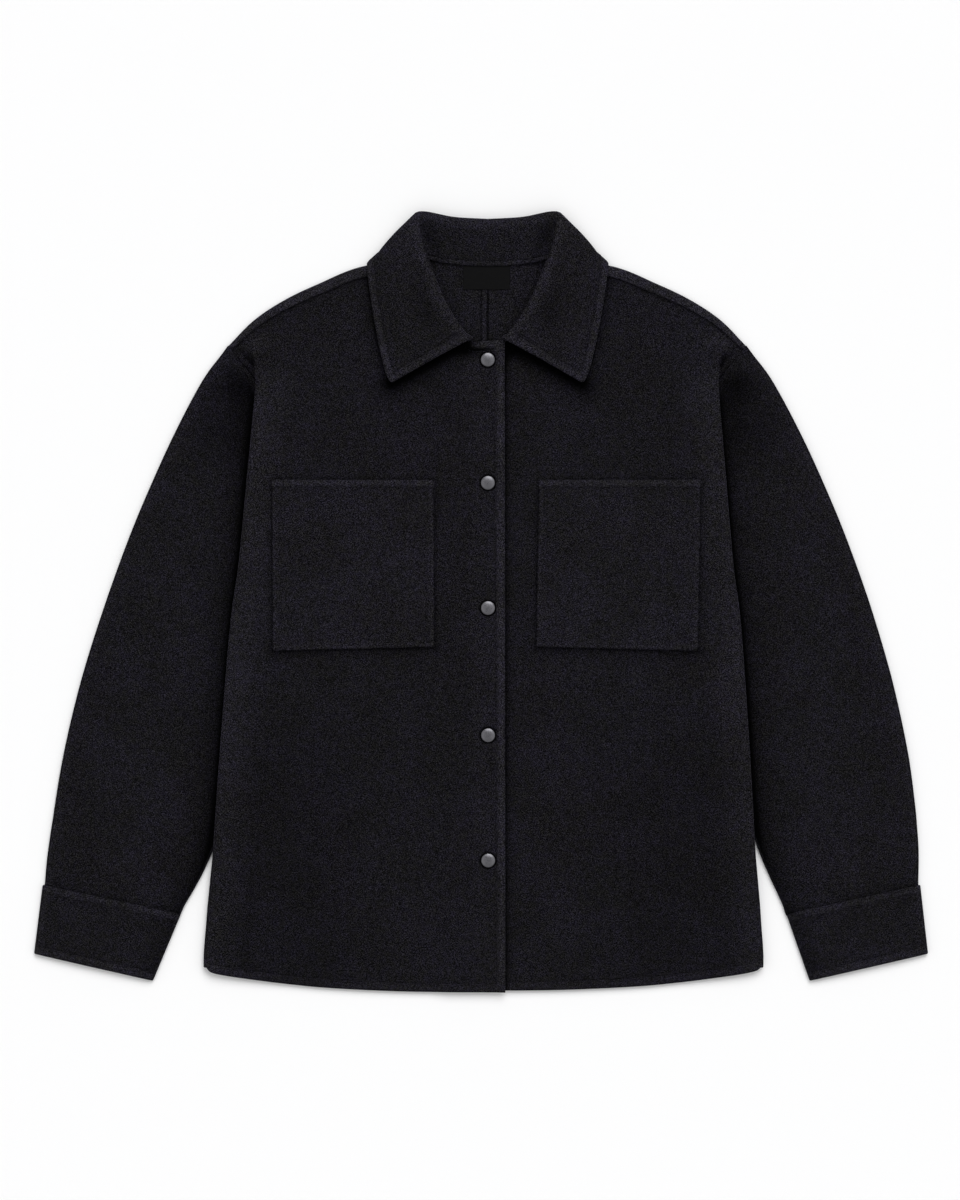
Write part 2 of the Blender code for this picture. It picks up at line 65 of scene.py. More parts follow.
def fading(distance, reach):    # 1 at an edge, fading away from it
    return np.exp(-np.clip(distance, 0, None) / reach)


def spot(x, y, midX, midY, wide, tall):
    return np.exp(-((x - midX) / wide) ** 2 - ((y - midY) / tall) ** 2)


def runLengths(line):       # distance along a line to each of its points
    return np.r_[0.0, np.cumsum(np.linalg.norm(np.diff(line, axis=0), axis=1))]


def pointsAlong(line, wanted):      # places on a line, by distance along it
    lengths = runLengths(line)
    return np.stack([np.interp(wanted, lengths, axis) for axis in line.T], axis=-1)


def raisedTo(points, height):       # flat places lifted to their heights
    return np.concatenate([points, height[..., None]], axis=-1)


def spline(points, fractions):      # smooth curve, by share of its length
    points = np.asarray(points, float)
    ends = np.vstack([2 * points[0] - points[1], points, 2 * points[-1] - points[-2]])
    t = np.linspace(0.0, 1.0, 33)[:-1, None]
    runs = []
    for a, b, c, d in zip(ends, ends[1:], ends[2:], ends[3:]):
        runs.append(0.5 * (2 * b + (c - a) * t + (2 * a - 5 * b + 4 * c - d) * t ** 2
                           + (3 * b - a - 3 * c + d) * t ** 3))
    dense = np.vstack(runs + [points[-1:]])
    return pointsAlong(dense, np.asarray(fractions) * runLengths(dense)[-1])


def splineLength(points):
    return runLengths(spline(points, np.linspace(0, 1, 200)))[-1]


def tableAt(table, up):     # first column at a height, carried on past the ends
    rows = np.array(sorted(table, key=lambda row: row[1]))
    value, at = rows[:, 0], rows[:, 1]
    low = value[0] + (up - at[0]) * (value[1] - value[0]) / (at[1] - at[0])
    high = value[-1] + (up - at[-1]) * (value[-1] - value[-2]) / (at[-1] - at[-2])
    return np.where(up < at[0], low, np.where(up > at[-1], high, np.interp(up, at, value)))


def steps(length, count, near, far):    # distances: set ones by each edge, even ones between
    length = np.asarray(length, float)[..., None]
    between = near[-1] + (length - near[-1] - far[-1]) * np.arange(1, count + 1) / (count + 1)
    first = np.broadcast_to(np.array(near), length.shape[:-1] + (len(near),))
    return np.concatenate([first, between, length - np.array(far)[::-1]], axis=-1)


def fourCorners(s, t, lowLeft, lowRight, highRight, highLeft):      # places between four corners
    return (1 - t) * ((1 - s) * lowLeft + s * lowRight) + t * ((1 - s) * highLeft + s * highRight)


def coons(bottom, top, left, right, u, v):     # grid inside four edges
    s, t = u[..., None], v[..., None]
    corners = fourCorners(s, t, bottom(0.0), bottom(1.0), top(1.0), top(0.0))
    return (1 - t) * bottom(u) + t * top(u) + (1 - s) * left(v) + s * right(v) - corners


def sampled(grid, f, s):    # any place on a fine grid, by its two shares
    rows, columns = grid.shape[0] - 1, grid.shape[1] - 1
    y, x = np.clip(f, 0, 1) * rows, np.clip(s, 0, 1) * columns
    i, j = np.minimum(y.astype(int), rows - 1), np.minimum(x.astype(int), columns - 1)
    a, b = (y - i)[..., None], (x - j)[..., None]
    return fourCorners(b, a, grid[i, j], grid[i, j + 1], grid[i + 1, j + 1], grid[i + 1, j])


def middleAt(up):
    return jacket["middleShift"] + jacket["middleLean"] * up


def lay(side, points):      # half points onto their side of the middle line
    laid = np.array(points)
    laid[..., 0] = middleAt(laid[..., 1]) + side * laid[..., 0]
    return laid


# Hand-felled edge: a rounded rim, a low band and the groove of its stitches.
felled = {"band": 7.2, "lift": 0.55, "pillow": 0.55, "groove": 0.55, "grooveWidth": 0.9,
          # painted highlight on the band, and painted shade a little past its groove
          "napAndPaintedShading": 0.60, "pressed": 0.14, "grooveShadeAt": 1.2}
roundSteps = (0.0, 0.1, 0.35, 0.7, 1.1, 2.0)
bandSteps = roundSteps + (3.4, 5.0, 6.2, 6.8, 7.2, 7.6, 8.0, 8.5, 9.3, 10.8)


def feltBand(distance):
    band = felled["band"]
    inside = 1.0 - smooth((distance - band + 0.8) / 1.6)
    pillow = np.sin(np.pi * np.clip(distance / band, 0, 1))
    groove = hump(distance - band, felled["grooveWidth"])
    return inside * (felled["lift"] + felled["pillow"] * pillow) - felled["groove"] * groove


def paintedBandShading(distance):      # painted highlight along a felled edge, and painted shade just past its groove
    raised = np.sin(np.pi * np.clip((distance + 1.2) / (felled["band"] + 2.0), 0, 1)) ** 1.4
    pressed = hump(distance - felled["band"] - felled["grooveShadeAt"], felled["grooveWidth"])
    return felled["napAndPaintedShading"] * raised - felled["pressed"] * pressed


def onBand(distance):       # 1 on a felled band, 0 past it
    return 1.0 - smooth((distance - felled["band"] + 1.5) / 2.0)


def rounding(distance, wall):       # share of the wall's thickness next to a rounded edge
    inside = np.clip(1.0 - distance / (wall / 2), 0.0, 1.0)
    return np.sqrt(1.0 - inside ** 2)


def creased(points, creases):       # soft ridges and troughs
    x, y = points[..., 0], points[..., 1]
    lift = np.zeros_like(x)
    for half, up, turn, length, width, depth, bow in creases:
        cos, sin = math.cos(math.radians(turn)), math.sin(math.radians(turn))
        along = (x - half) * cos + (y - up) * sin
        off = (y - up) * cos - (x - half) * sin - bow * (along / length) ** 2
        lift += depth * np.exp(-(off / width) ** 2 - (along / length) ** 4)
    return lift


sewnTogether = 0.002    # points of a cloth nearer than this are one
darkestPaintedShade = -0.96


def shell(name, points, wall, thin, finish, closed=False, napAndPaintedShading=0.0):    # a wall on both sides of a grid
    rows, columns = points.shape[:2]
    flat = points.reshape(-1, 3)
    first, place = np.unique(np.round(flat / sewnTogether).astype(np.int64), axis=0,
                             return_index=True, return_inverse=True)[1:]
    place = place.reshape(-1)
    spots = flat[first]
    share = np.ones(len(spots))
    np.minimum.at(share, place, np.broadcast_to(thin, (rows, columns)).reshape(-1))
    faces = []
    wide = columns if closed else columns - 1
    for r in range(rows - 1):
        for c in range(wide):
            n = (c + 1) % columns
            loop = [place[r * columns + c], place[r * columns + n],
                    place[(r + 1) * columns + n], place[(r + 1) * columns + c]]
            loop = [k for i, k in enumerate(loop) if k != loop[i - 1]]
            if len(loop) > 2 and len(set(loop)) == len(loop):
                faces.append(loop)
    normals = np.zeros_like(spots)
    for size in (3, 4):
        some = np.array([f for f in faces if len(f) == size], int)
        if len(some):
            span = np.cross(spots[some[:, 2]] - spots[some[:, 0]],
                            spots[some[:, size - 1]] - spots[some[:, 1]])
            for corner in range(size):
                np.add.at(normals, some[:, corner], span)
    normals /= np.maximum(np.linalg.norm(normals, axis=1), 1e-9)[:, None]
    offset = normals * (share * wall / 2)[:, None]
    # painted shade and highlights, one value a point: below 0 darker, above 0 paler
    raised = np.broadcast_to(napAndPaintedShading, (rows, columns)).reshape(-1)[first]
    double = share > 0.02
    under = np.where(double, len(spots) + np.cumsum(double) - 1, np.arange(len(spots)))
    verts = np.vstack([spots + offset, (spots - offset)[double]])
    verts[:, 2] = np.maximum(verts[:, 2], 0.0)
    walls = faces + [[under[k] for k in reversed(f)] for f in faces]
    edges = {(f[i - 1], f[i]): True for f in faces for i in range(len(f))}
    for a, b in edges:
        if (b, a) not in edges and (double[a] or double[b]):
            rim = [b, a, under[a], under[b]]
            walls.append([k for i, k in enumerate(rim) if k != rim[i - 1]])
    mesh = bpy.data.meshes.new(name)
    mesh.from_pydata((verts * mm).tolist(), [], [[int(k) for k in f] for f in walls])
    # the painted shade and highlights go on the mesh as a point attribute
    raised = np.maximum(raised, darkestPaintedShade)
    stand = mesh.attributes.new("napAndPaintedShading", "FLOAT", "POINT")
    stand.data.foreach_set("value", np.r_[raised, raised[double]].astype(np.float32))
    mesh.shade_smooth()
    mesh.materials.append(finish)
    piece = bpy.data.objects.new(name, mesh)
    bpy.context.collection.objects.link(piece)
    mesh.calc_loop_triangles()
    print("stage:", name, len(mesh.loop_triangles), "triangles")
    return piece


flatten = np.array((1.0, 1.0, 0.0))


def clothArea(points):      # flat area of a grid, in square metres
    a = points[1:, 1:] - points[:-1, :-1]
    b = points[1:, :-1] - points[:-1, 1:]
    return np.linalg.norm(np.cross(a, b), axis=-1).sum() / 2 * mm * mm


# Brushed double-faced wool: a dense nap in two greys, clouded and flecked.
wool = {
    "violet": (0.0084, 0.0077, 0.0120, 1.0), "olive": (0.0089, 0.0086, 0.0086, 1.0),
    # scale, detail and roughness of each pattern
    "clouds": (17.0, 3.0, 0.55), "blotches": (170.0, 3.0, 0.6),
    "flecks": (1220.0, 0.0, 0.5), "fibres": (1500.0, 1.0, 0.5),
    # where each turns from dark to light, and its tone there; what two of them add to the hue
    "cloudRange": (0.36, 0.64), "cloudTones": (0.0, 1.0, 0.92, 1.07),
    "blotchTones": (0.3, 0.72, 0.92, 1.08), "fleckTones": (0.28, 0.74, 0.20, 1.95),
    "fibreTones": (0.28, 0.72, 0.12, 2.0),
    "cloudHue": 0.3, "blotchHue": 0.7, "blotchRange": (0.3, 0.7),
    "grainTilt": (41.0, 33.0, 0.0),     # tilted, so a flat cloth cuts the grain evenly
    "fibreTurn": (0.0, 0.0, 14.0), "fibreStretch": (1.0, 0.5, 1.0),     # brushed down the jacket
    "roughness": 0.92, "specular": 0.02,
    "sheen": 0.09, "sheenRoughness": 0.30, "sheenTint": (0.76, 0.72, 0.98, 1.0),
    "fleckNap": 0.6, "fibreNap": 0.4, "napDepth": 0.0011, "napStrength": 0.8,
}
snapMetal = {"colour": (0.142, 0.140, 0.153, 1.0), "dim": 0.88, "metallic": 0.85,
             "brushing": (900.0, 3.0, 0.6), "dimRange": (0.3, 0.7), "roughness": (0.2, 0.8, 0.25, 0.39),
             "brushDepth": 0.00004, "brushStrength": 0.5}
ribbonSatin = {"colour": (0.0024, 0.0024, 0.0026, 1.0), "light": 1.9, "roughness": 0.78, "specular": 0.08,
               "slub": (420.0, 2.0, 0.6), "slubTones": (0.3, 0.7, 0.4, 1.0),
               "ribsPerMetre": 2600.0, "ribBend": 0.6, "ribDepth": 0.00012, "ribStrength": 0.5}


def addNode(tree, kind, sockets, **settings):       # its sockets set to values or linked
    node = tree.nodes.new("ShaderNode" + kind)
    for name, value in settings.items():
        setattr(node, name, value)
    setSockets(tree, node, sockets)
    return node


def setSockets(tree, node, sockets):
    for name, value in sockets.items():
        if isinstance(value, bpy.types.NodeSocket):
            tree.links.new(value, node.inputs[name])
        else:
            node.inputs[name].default_value = value


def newMaterial(name):
    material = bpy.data.materials.new(name)
    material.use_nodes = True
    tree = material.node_tree
    return material, tree, addNode(tree, "TexCoord", {}).outputs["Object"]


def noise(tree, place, scale, detail, roughness):
    sockets = {"Scale": scale, "Detail": detail, "Roughness": roughness, "Vector": place}
    return addNode(tree, "TexNoise", sockets).outputs["Fac"]


def ramp(tree, value, low, high, start=0.0, finish=1.0):
    sockets = {"Value": value, "From Min": low, "From Max": high, "To Min": start, "To Max": finish}
    return addNode(tree, "MapRange", sockets, interpolation_type="SMOOTHSTEP").outputs["Result"]


def times(tree, one, two, operation="MULTIPLY"):
    return addNode(tree, "Math", {0: one, 1: two}, operation=operation).outputs[0]


def mixed(tree, share, one, two, blend="MIX"):
    return addNode(tree, "Mix", {0: share, 6: one, 7: two}, data_type="RGBA", blend_type=blend).outputs[2]


def bumped(tree, height, distance, strength):
    sockets = {"Strength": strength, "Distance": distance, "Height": height}
    return addNode(tree, "Bump", sockets).outputs["Normal"]


def turned(tree, place, angles, scale=(1.0, 1.0, 1.0)):
    rotation = tuple(math.radians(angle) for angle in angles)
    sockets = {"Vector": place, "Rotation": rotation, "Scale": scale}
    return addNode(tree, "Mapping", sockets).outputs["Vector"]


def woolMaterial():
    material, tree, place = newMaterial("brushedWool")
    clouds = ramp(tree, noise(tree, place, *wool["clouds"]), *wool["cloudRange"])
    blotches = noise(tree, place, *wool["blotches"])
    tilted = turned(tree, place, wool["grainTilt"])
    flecks = noise(tree, tilted, *wool["flecks"])
    brushed = turned(tree, tilted, wool["fibreTurn"], wool["fibreStretch"])
    fibres = noise(tree, brushed, *wool["fibres"])
    hue = times(tree, times(tree, clouds, wool["cloudHue"]),
                times(tree, ramp(tree, blotches, *wool["blotchRange"]), wool["blotchHue"]), "ADD")
    colour = mixed(tree, hue, wool["olive"], wool["violet"])
    grain = times(tree, ramp(tree, flecks, *wool["fleckTones"]), ramp(tree, fibres, *wool["fibreTones"]))
    patches = times(tree, ramp(tree, blotches, *wool["blotchTones"]),
                    ramp(tree, clouds, *wool["cloudTones"]))
    # the point attribute of painted shade and highlights darkens or lightens the cloth's colour
    stand = addNode(tree, "Attribute", {}, attribute_name="napAndPaintedShading").outputs["Fac"]
    tone = times(tree, times(tree, grain, patches), times(tree, stand, 1.0, "ADD"))
    grey = addNode(tree, "CombineColor", {0: tone, 1: tone, 2: tone}).outputs["Color"]
    # the bump of the nap, from its flecks and fibres
    napAndPaintedShading = times(tree, times(tree, flecks, wool["fleckNap"]), times(tree, fibres, wool["fibreNap"]), "ADD")
    setSockets(tree, tree.nodes["Principled BSDF"], {
        "Base Color": mixed(tree, 1.0, colour, grey, "MULTIPLY"),
        "Roughness": wool["roughness"], "Specular IOR Level": wool["specular"],
        "Sheen Weight": wool["sheen"], "Sheen Roughness": wool["sheenRoughness"],
        "Sheen Tint": wool["sheenTint"],
        "Normal": bumped(tree, napAndPaintedShading, wool["napDepth"], wool["napStrength"])})
    return material


def scaled(colour, share):
    return tuple(share * part for part in colour[:3]) + (1.0,)


def metalMaterial():
    material, tree, place = newMaterial("gunmetalCap")
    worn = noise(tree, place, *snapMetal["brushing"])
    colour, bright = snapMetal["colour"], ramp(tree, worn, *snapMetal["dimRange"])
    setSockets(tree, tree.nodes["Principled BSDF"], {
        "Base Color": mixed(tree, bright, scaled(colour, snapMetal["dim"]), colour),
        "Metallic": snapMetal["metallic"], "Roughness": ramp(tree, worn, *snapMetal["roughness"]),
        "Normal": bumped(tree, worn, snapMetal["brushDepth"], snapMetal["brushStrength"])})
    return material


def ribbonMaterial():
    material, tree, place = newMaterial("satinRibbon")
    ribs = addNode(tree, "TexWave", {
        "Vector": place, "Scale": ribbonSatin["ribsPerMetre"] / math.tau,
        "Distortion": ribbonSatin["ribBend"],
    }, wave_type="BANDS", bands_direction="DIAGONAL").outputs["Fac"]
    slub = noise(tree, place, *ribbonSatin["slub"])
    colour = ribbonSatin["colour"]
    share = times(tree, ribs, ramp(tree, slub, *ribbonSatin["slubTones"]))
    setSockets(tree, tree.nodes["Principled BSDF"], {
        "Base Color": mixed(tree, share, colour, scaled(colour, ribbonSatin["light"])),
        "Roughness": ribbonSatin["roughness"], "Specular IOR Level": ribbonSatin["specular"],
        "Normal": bumped(tree, ribs, ribbonSatin["ribDepth"], ribbonSatin["ribStrength"])})
    return material


woolCloth = woolMaterial()
capMetal = metalMaterial()
labelRibbon = ribbonMaterial()
print("stage: materials made")


# Fronts and back share one outline, half by up.
body = {
    "hemMiddle": -375.0, "corner": (269.2, -351.0), "underRise": 1.5, "neckUp": 252.5,
    "hem": ((72.0, -374.3), (143.0, -371.2), (185.4, -367.4), (216.7, -363.5), (245.0, -359.4),
            (261.0, -356.0)),
    "sideFold": ((268.7, -330.0), (263.4, -267.2), (260.0, -226.8), (252.3, -108.3), (245.0, -17.0),
                 (237.4, 40.9), (228.2, 143.0), (223.6, 195.0)),
    "armhole": ((249.5, 246.0), (222.9, 214.3), (207.0, 147.0), (199.0, 80.0), (192.0, 46.0),
                (179.0, 25.0)),
    "shoulder": ((59.0, 331.0), (120.0, 323.6), (163.0, 306.6), (195.5, 291.0), (224.4, 271.8),
                 (249.0, 247.0)),
    "bandWidth": (10.6, 5.0),       # the back turned over the shoulder, neck to armhole
}


def shoulderEdge(share):
    reach = 0.004
    outline = spline(body["shoulder"], share)
    ahead = (spline(body["shoulder"], np.minimum(share + reach, 1.0))
             - spline(body["shoulder"], np.maximum(share - reach, 0.0)))
    outward = np.stack([-ahead[..., 1], ahead[..., 0]], axis=-1)
    outward /= np.linalg.norm(outward, axis=-1)[..., None]
    width = body["bandWidth"][0] + (body["bandWidth"][1] - body["bandWidth"][0]) * share ** 3
    return outline, outward, width


front = {
    "edge": (16.9, 21.2),           # over front's edge past the middle line, at neck and hem
    "underWidth": 28.0, "ramp": (54.0, 28.0),
    "neck": ((15.5, 251.7), (26.0, 262.5), (43.5, 290.0)),
    "climb": ((3.2, -349.0), (3.4, -310.0), (6.4, -245.0), (7.2, -180.0), (7.4, 0.0), (7.4, 120.0),
              (6.7, 160.0), (5.2, 190.0), (3.6, 205.0), (2.6, 214.0), (1.3, 230.0), (0.5, 248.0),
              (0.0, 285.0)),        # rise to the side fold, by up
    "run": 95.0, "rest": (3.3, 5.9, -292.0, -246.0), "shoulderFlat": (-8.0, 4.0),
    "armholeShare": 0.90,           # row where the armhole starts
    "shoulderGap": 0.25, "shoulderTuck": (1.3, -1.3), "shoulderHalf": (50.0, 70.0),
    "shoulderShade": 0.95, "armholeShade": 0.6,
    # the side fold runs on up into the shoulder, and the cloth past it gets painted shade: half, up
    "hollow": ((222.8, 200.0), (222.8, 214.0), (224.0, 233.0), (228.0, 242.0), (236.0, 250.0)),
    "hollowShade": 0.95, "hollowReach": 15.0, "hollowTop": (250.0, 232.0), "hollowFoot": (204.0, 210.0),
    # the over front's edge and top with painted highlights on their bands, and painted shadow on the cloth
    # beside its edge
    "hover": 0.9, "hoverWidth": 7.0, "paintedEdgeShading": 0.16,
    "paintedTopLight": 0.34, "topShade": 0.6, "topEnd": (8.0, 20.0),
    "paintedShadowBesideEdge": 0.85, "besideReach": 3.4, "underClear": (22.0, 27.0),
    # painted highlight rising towards the side fold, fading out near the top
    "seamWidth": 5.4, "rimWidth": 44.0, "paintedRimLight": 0.46, "rimEnd": (205.0, 235.0),
    "columns": 88, "rows": (190, 22), "gridHeight": 640.0,
    # painted shadow below the collar's ends, beside its edge and round a pocket; how far each reaches
    "collarEndShadow": (1.05, 10.5), "collarEndGap": 1.5, "collarReach": 248.0, "collarEdgeShadow": (0.7, 4.6),
    "pocketSideShadow": (0.4, 2.6), "pocketFootShadow": (0.65, 4.4),
    # darker low at the sides, paler down the placket
    "lowShade": 0.17, "lowUp": (-70.0, -180.0), "lowHalf": (80.0, 170.0),
    # paler down the placket; painted highlight and groove shade along the hem's band
    "placketPaler": 0.1, "placketWidth": (24.0, 36.0), "paintedHemBand": 0.5,
    # painted highlight at the shoulder's end, painted shadow under the collar by the neck: half, up, reach
    # of both, rise
    "spots": ((222.0, 252.0, 14.0, 9.0, 0.5), (17.0, 242.5, 12.0, 6.0, -0.5)),
    "seamSteps": (0.0, 0.12, 0.4, 0.8, 1.4, 2.6, 4.0, 4.8, 5.4, 6.0, 7.2, 9.5),
    "underSteps": (18.0, 23.0, 26.0, 27.2, 27.8, 28.4, 29.1, 30.0, 31.2, 32.8, 35.0, 38.0, 42.0),
    # where creases come in, then each one: half, up, turn, length, width, depth, bow
    "creaseHalf": (26.0, 56.0), "creaseUp": (-372.0, -342.0),
    "overCreases": (
        (150.0, -205.0, 84.0, 120.0, 34.0, 0.9, 12.0), (96.0, -250.0, 97.0, 90.0, 26.0, 0.6, -9.0),
        (214.0, -160.0, 80.0, 150.0, 22.0, -0.7, 10.0), (196.0, 196.0, 58.0, 62.0, 15.0, 0.8, 9.0),
        (172.0, 232.0, 38.0, 70.0, 18.0, 0.6, -8.0), (128.0, 160.0, 12.0, 60.0, 20.0, 0.5, 6.0),
        (118.0, -86.0, 4.0, 75.0, 17.0, 0.5, -7.0), (70.0, -318.0, 88.0, 46.0, 16.0, 0.4, 4.0),
        (226.0, -286.0, 102.0, 60.0, 18.0, 0.6, 6.0),
    ),
    "underCreases": (
        (132.0, -190.0, 98.0, 135.0, 30.0, 0.8, -14.0), (196.0, -232.0, 88.0, 105.0, 24.0, 0.7, 8.0),
        (86.0, -282.0, 82.0, 80.0, 24.0, 0.5, 9.0), (205.0, 205.0, 62.0, 66.0, 13.0, 1.0, 10.0),
        (176.0, 244.0, 30.0, 60.0, 17.0, 0.5, 7.0), (120.0, 170.0, -10.0, 66.0, 22.0, 0.5, -6.0),
        (138.0, -80.0, -5.0, 70.0, 16.0, 0.5, 5.0), (232.0, -150.0, 84.0, 130.0, 20.0, -0.6, -9.0),
        (150.0, -322.0, 94.0, 40.0, 18.0, 0.4, -5.0),
    ),
}


def foldHalf(up):
    return tableAt(body["sideFold"], up)


def overEdge(up):       # the over front's edge, out past the middle line
    return tableAt(((front["edge"][0], body["neckUp"]), (front["edge"][1], body["hemMiddle"])), up)


def foldClimb(up):
    return np.maximum(0.0, tableAt(front["climb"], up))


def foldBend(up):
    low, high, start, finish = front["rest"]
    rest = np.clip(low + (high - low) * (up - start) / (finish - start), low, high)
    return np.maximum(0.0, (jacket["frontLayer"] + foldClimb(up) - rest) / 2)


def frontHeight(points, over):
    half, up = points[..., 0], points[..., 1]
    fold = foldHalf(up)
    climb = foldClimb(up) * smooth((half - fold + front["run"]) / front["run"])
    seamUp = body["armhole"][1][1]
    climb = climb * (1.0 - ease(half - fold, *front["shoulderFlat"]) * ease(up - seamUp, 0.0, 10.0))
    height = jacket["frontLayer"] + climb
    if over:
        step = jacket["overLayer"] - jacket["frontLayer"]
        height = height + step * ease(half, *front["ramp"])
    creases = front["overCreases"] if over else front["underCreases"]
    clear = ease(half, *front["creaseHalf"]) * ease(up, *front["creaseUp"])
    return height + creased(points, creases) * clear


collar = {
    "cloth": 2.2, "pointRadius": 3.5, "stand": 0.55,
    # seam, roll, fall and edge of each section, front end to centre back: half, up, height
    "sections": (
        ((17.5, 250.8, 8.9), (16.6, 252.6, 12.4), (54.0, 232.5, 12.5), (92.4, 210.4, 9.5)),
        ((27.0, 262.5, 8.6), (28.1, 262.7, 14.2), (62.0, 247.0, 15.0), (98.0, 223.0, 9.0)),
        ((43.5, 290.0, 7.2), (44.8, 290.2, 16.2), (74.0, 275.0, 16.5), (105.0, 253.0, 8.5)),
        ((56.5, 322.0, 5.8), (58.3, 325.3, 17.0), (86.0, 310.0, 16.5), (111.5, 290.0, 8.0)),
        ((57.5, 329.5, 5.8), (64.9, 346.5, 16.5), (92.0, 333.0, 14.0), (115.0, 318.6, 7.2)),
        ((52.0, 328.8, 4.8), (67.1, 370.0, 14.5), (94.0, 347.0, 8.0), (113.2, 327.6, 3.4)),
        ((40.0, 326.6, 4.0), (59.5, 373.8, 13.2), (74.0, 365.5, 5.0), (90.0, 337.0, 1.4)),
        ((20.0, 324.4, 3.6), (30.0, 367.4, 12.8), (36.0, 364.8, 4.2), (46.0, 334.5, 1.3)),
        ((0.0, 323.7, 3.5), (0.0, 364.8, 12.8), (0.0, 364.0, 4.2), (0.0, 332.0, 1.3)),
    ),
    # painted highlight along the roll, and the whole collar paler
    "rows": 96, "columns": 92, "paintedRollLight": 0.5, "rollWidth": 6.0, "basePaler": 0.13,
    # painted highlight on the ridge by the seam
    "seamAt": 1.8, "seamRidge": 0.5, "paintedSeamLight": 0.3, "spread": (95.0, 230.0),   # width and half length
    "inside": (0.85, 3.2, 2.4),     # painted shadow line inside the fold at the neck's sides: depth, place, reach
    # painted shade: share of the way to the centre back, distance from the seam, reach of both, depth
    "shades": ((0.70, 22.0, 0.035, 24.0, 0.4), (0.27, 36.0, 0.09, 11.0, 0.26),
               (0.17, 33.0, 0.06, 11.0, 0.3), (0.66, 28.0, 0.03, 14.0, 0.4)),
    "rim": (0.66, 0.07, 0.5),      # painted highlight where the fall turns down at the neck's sides: place, reach, rise
}


pocket = {
    "corners": ((49.9, 118.0), (206.8, 118.0), (205.1, -47.2), (48.1, -43.3)),
    "radius": 2.6, "gap": 0.12, "pressed": 0.4, "pressedWidth": 1.6, "columns": 44, "rows": 44,
    # paler all over, painted shadow at the sewn edge, painted highlight just inside it
    "basePaler": 0.13, "paintedEdgeShading": 1.1, "edgeWidth": 1.2, "paintedRimLight": 0.3,
    "creases": ((128.0, 30.0, 76.0, 58.0, 30.0, 0.5, 6.0), (86.0, 8.0, 96.0, 44.0, 20.0, 0.35, -5.0),
                (170.0, 52.0, 84.0, 46.0, 22.0, 0.4, 4.0)),
}


snap = {
    "inset": 16.4, "heights": (233.5, 115.1, -5.3, -127.6, -248.0),
    # painted shadow ring on the cloth round each cap: depth, where it fades out
    "sides": 48, "base": 5.6 + 1.0 - 0.15, "pressed": 1.0, "ring": (7.7, 9.2),
    "dimple": 0.3, "hollow": (6.0, 11.0), "ringReach": 9.0,     # how the cap presses into the cloth
    # radius and height of each ring: foot, rolled rim, its hollow, dome
    "rings": ((6.1, 0.0), (6.55, 0.2), (6.75, 0.55), (6.75, 0.9), (6.6, 1.2), (6.3, 1.42), (5.9, 1.56),
              (5.3, 1.74), (4.3, 1.94), (3.0, 2.1), (1.5, 2.21), (0.35, 2.25)),
}


def toLine(points, start, finish):      # distance from a straight line between two places
    start, finish = np.array(start), np.array(finish)
    way = finish - start
    share = np.clip(((points - start) @ way) / (way @ way), 0, 1)
    return np.linalg.norm(points - start - share[..., None] * way, axis=-1)


def besideLines(points, lines, depth, reach):       # painted shade along a few lines
    return -depth * np.max([fading(toLine(points, *line), reach) for line in lines], axis=0)


def collarLines(part):      # one guide of the collar's sections, up to the neck's sides
    guide = [row[part][:2] for row in collar["sections"]]
    return list(zip(guide[:5], guide[1:6]))


# painted shadow below the collar's ends and beside its edges
def besideCollar(points):
    depth, reach = front["collarEndShadow"]
    roll, edge = collar["sections"][0][1], collar["sections"][0][3]
    away = np.clip(toLine(points, roll[:2], edge[:2]) - front["collarEndGap"], 0, None)
    ends = -depth * np.exp(-(away / reach) ** 1.3)
    return np.minimum(ends, besideLines(points, collarLines(3), *front["collarEdgeShadow"]))


# painted shadow round a pocket, deepest below it
def besidePocket(points):
    topInner, topOuter, lowOuter, lowInner = pocket["corners"]
    foot = besideLines(points, ((lowInner, lowOuter),), *front["pocketFootShadow"])
    sides = ((topInner, lowInner), (topOuter, lowOuter), (topInner, topOuter))
    return np.minimum(foot, besideLines(points, sides, *front["pocketSideShadow"]))


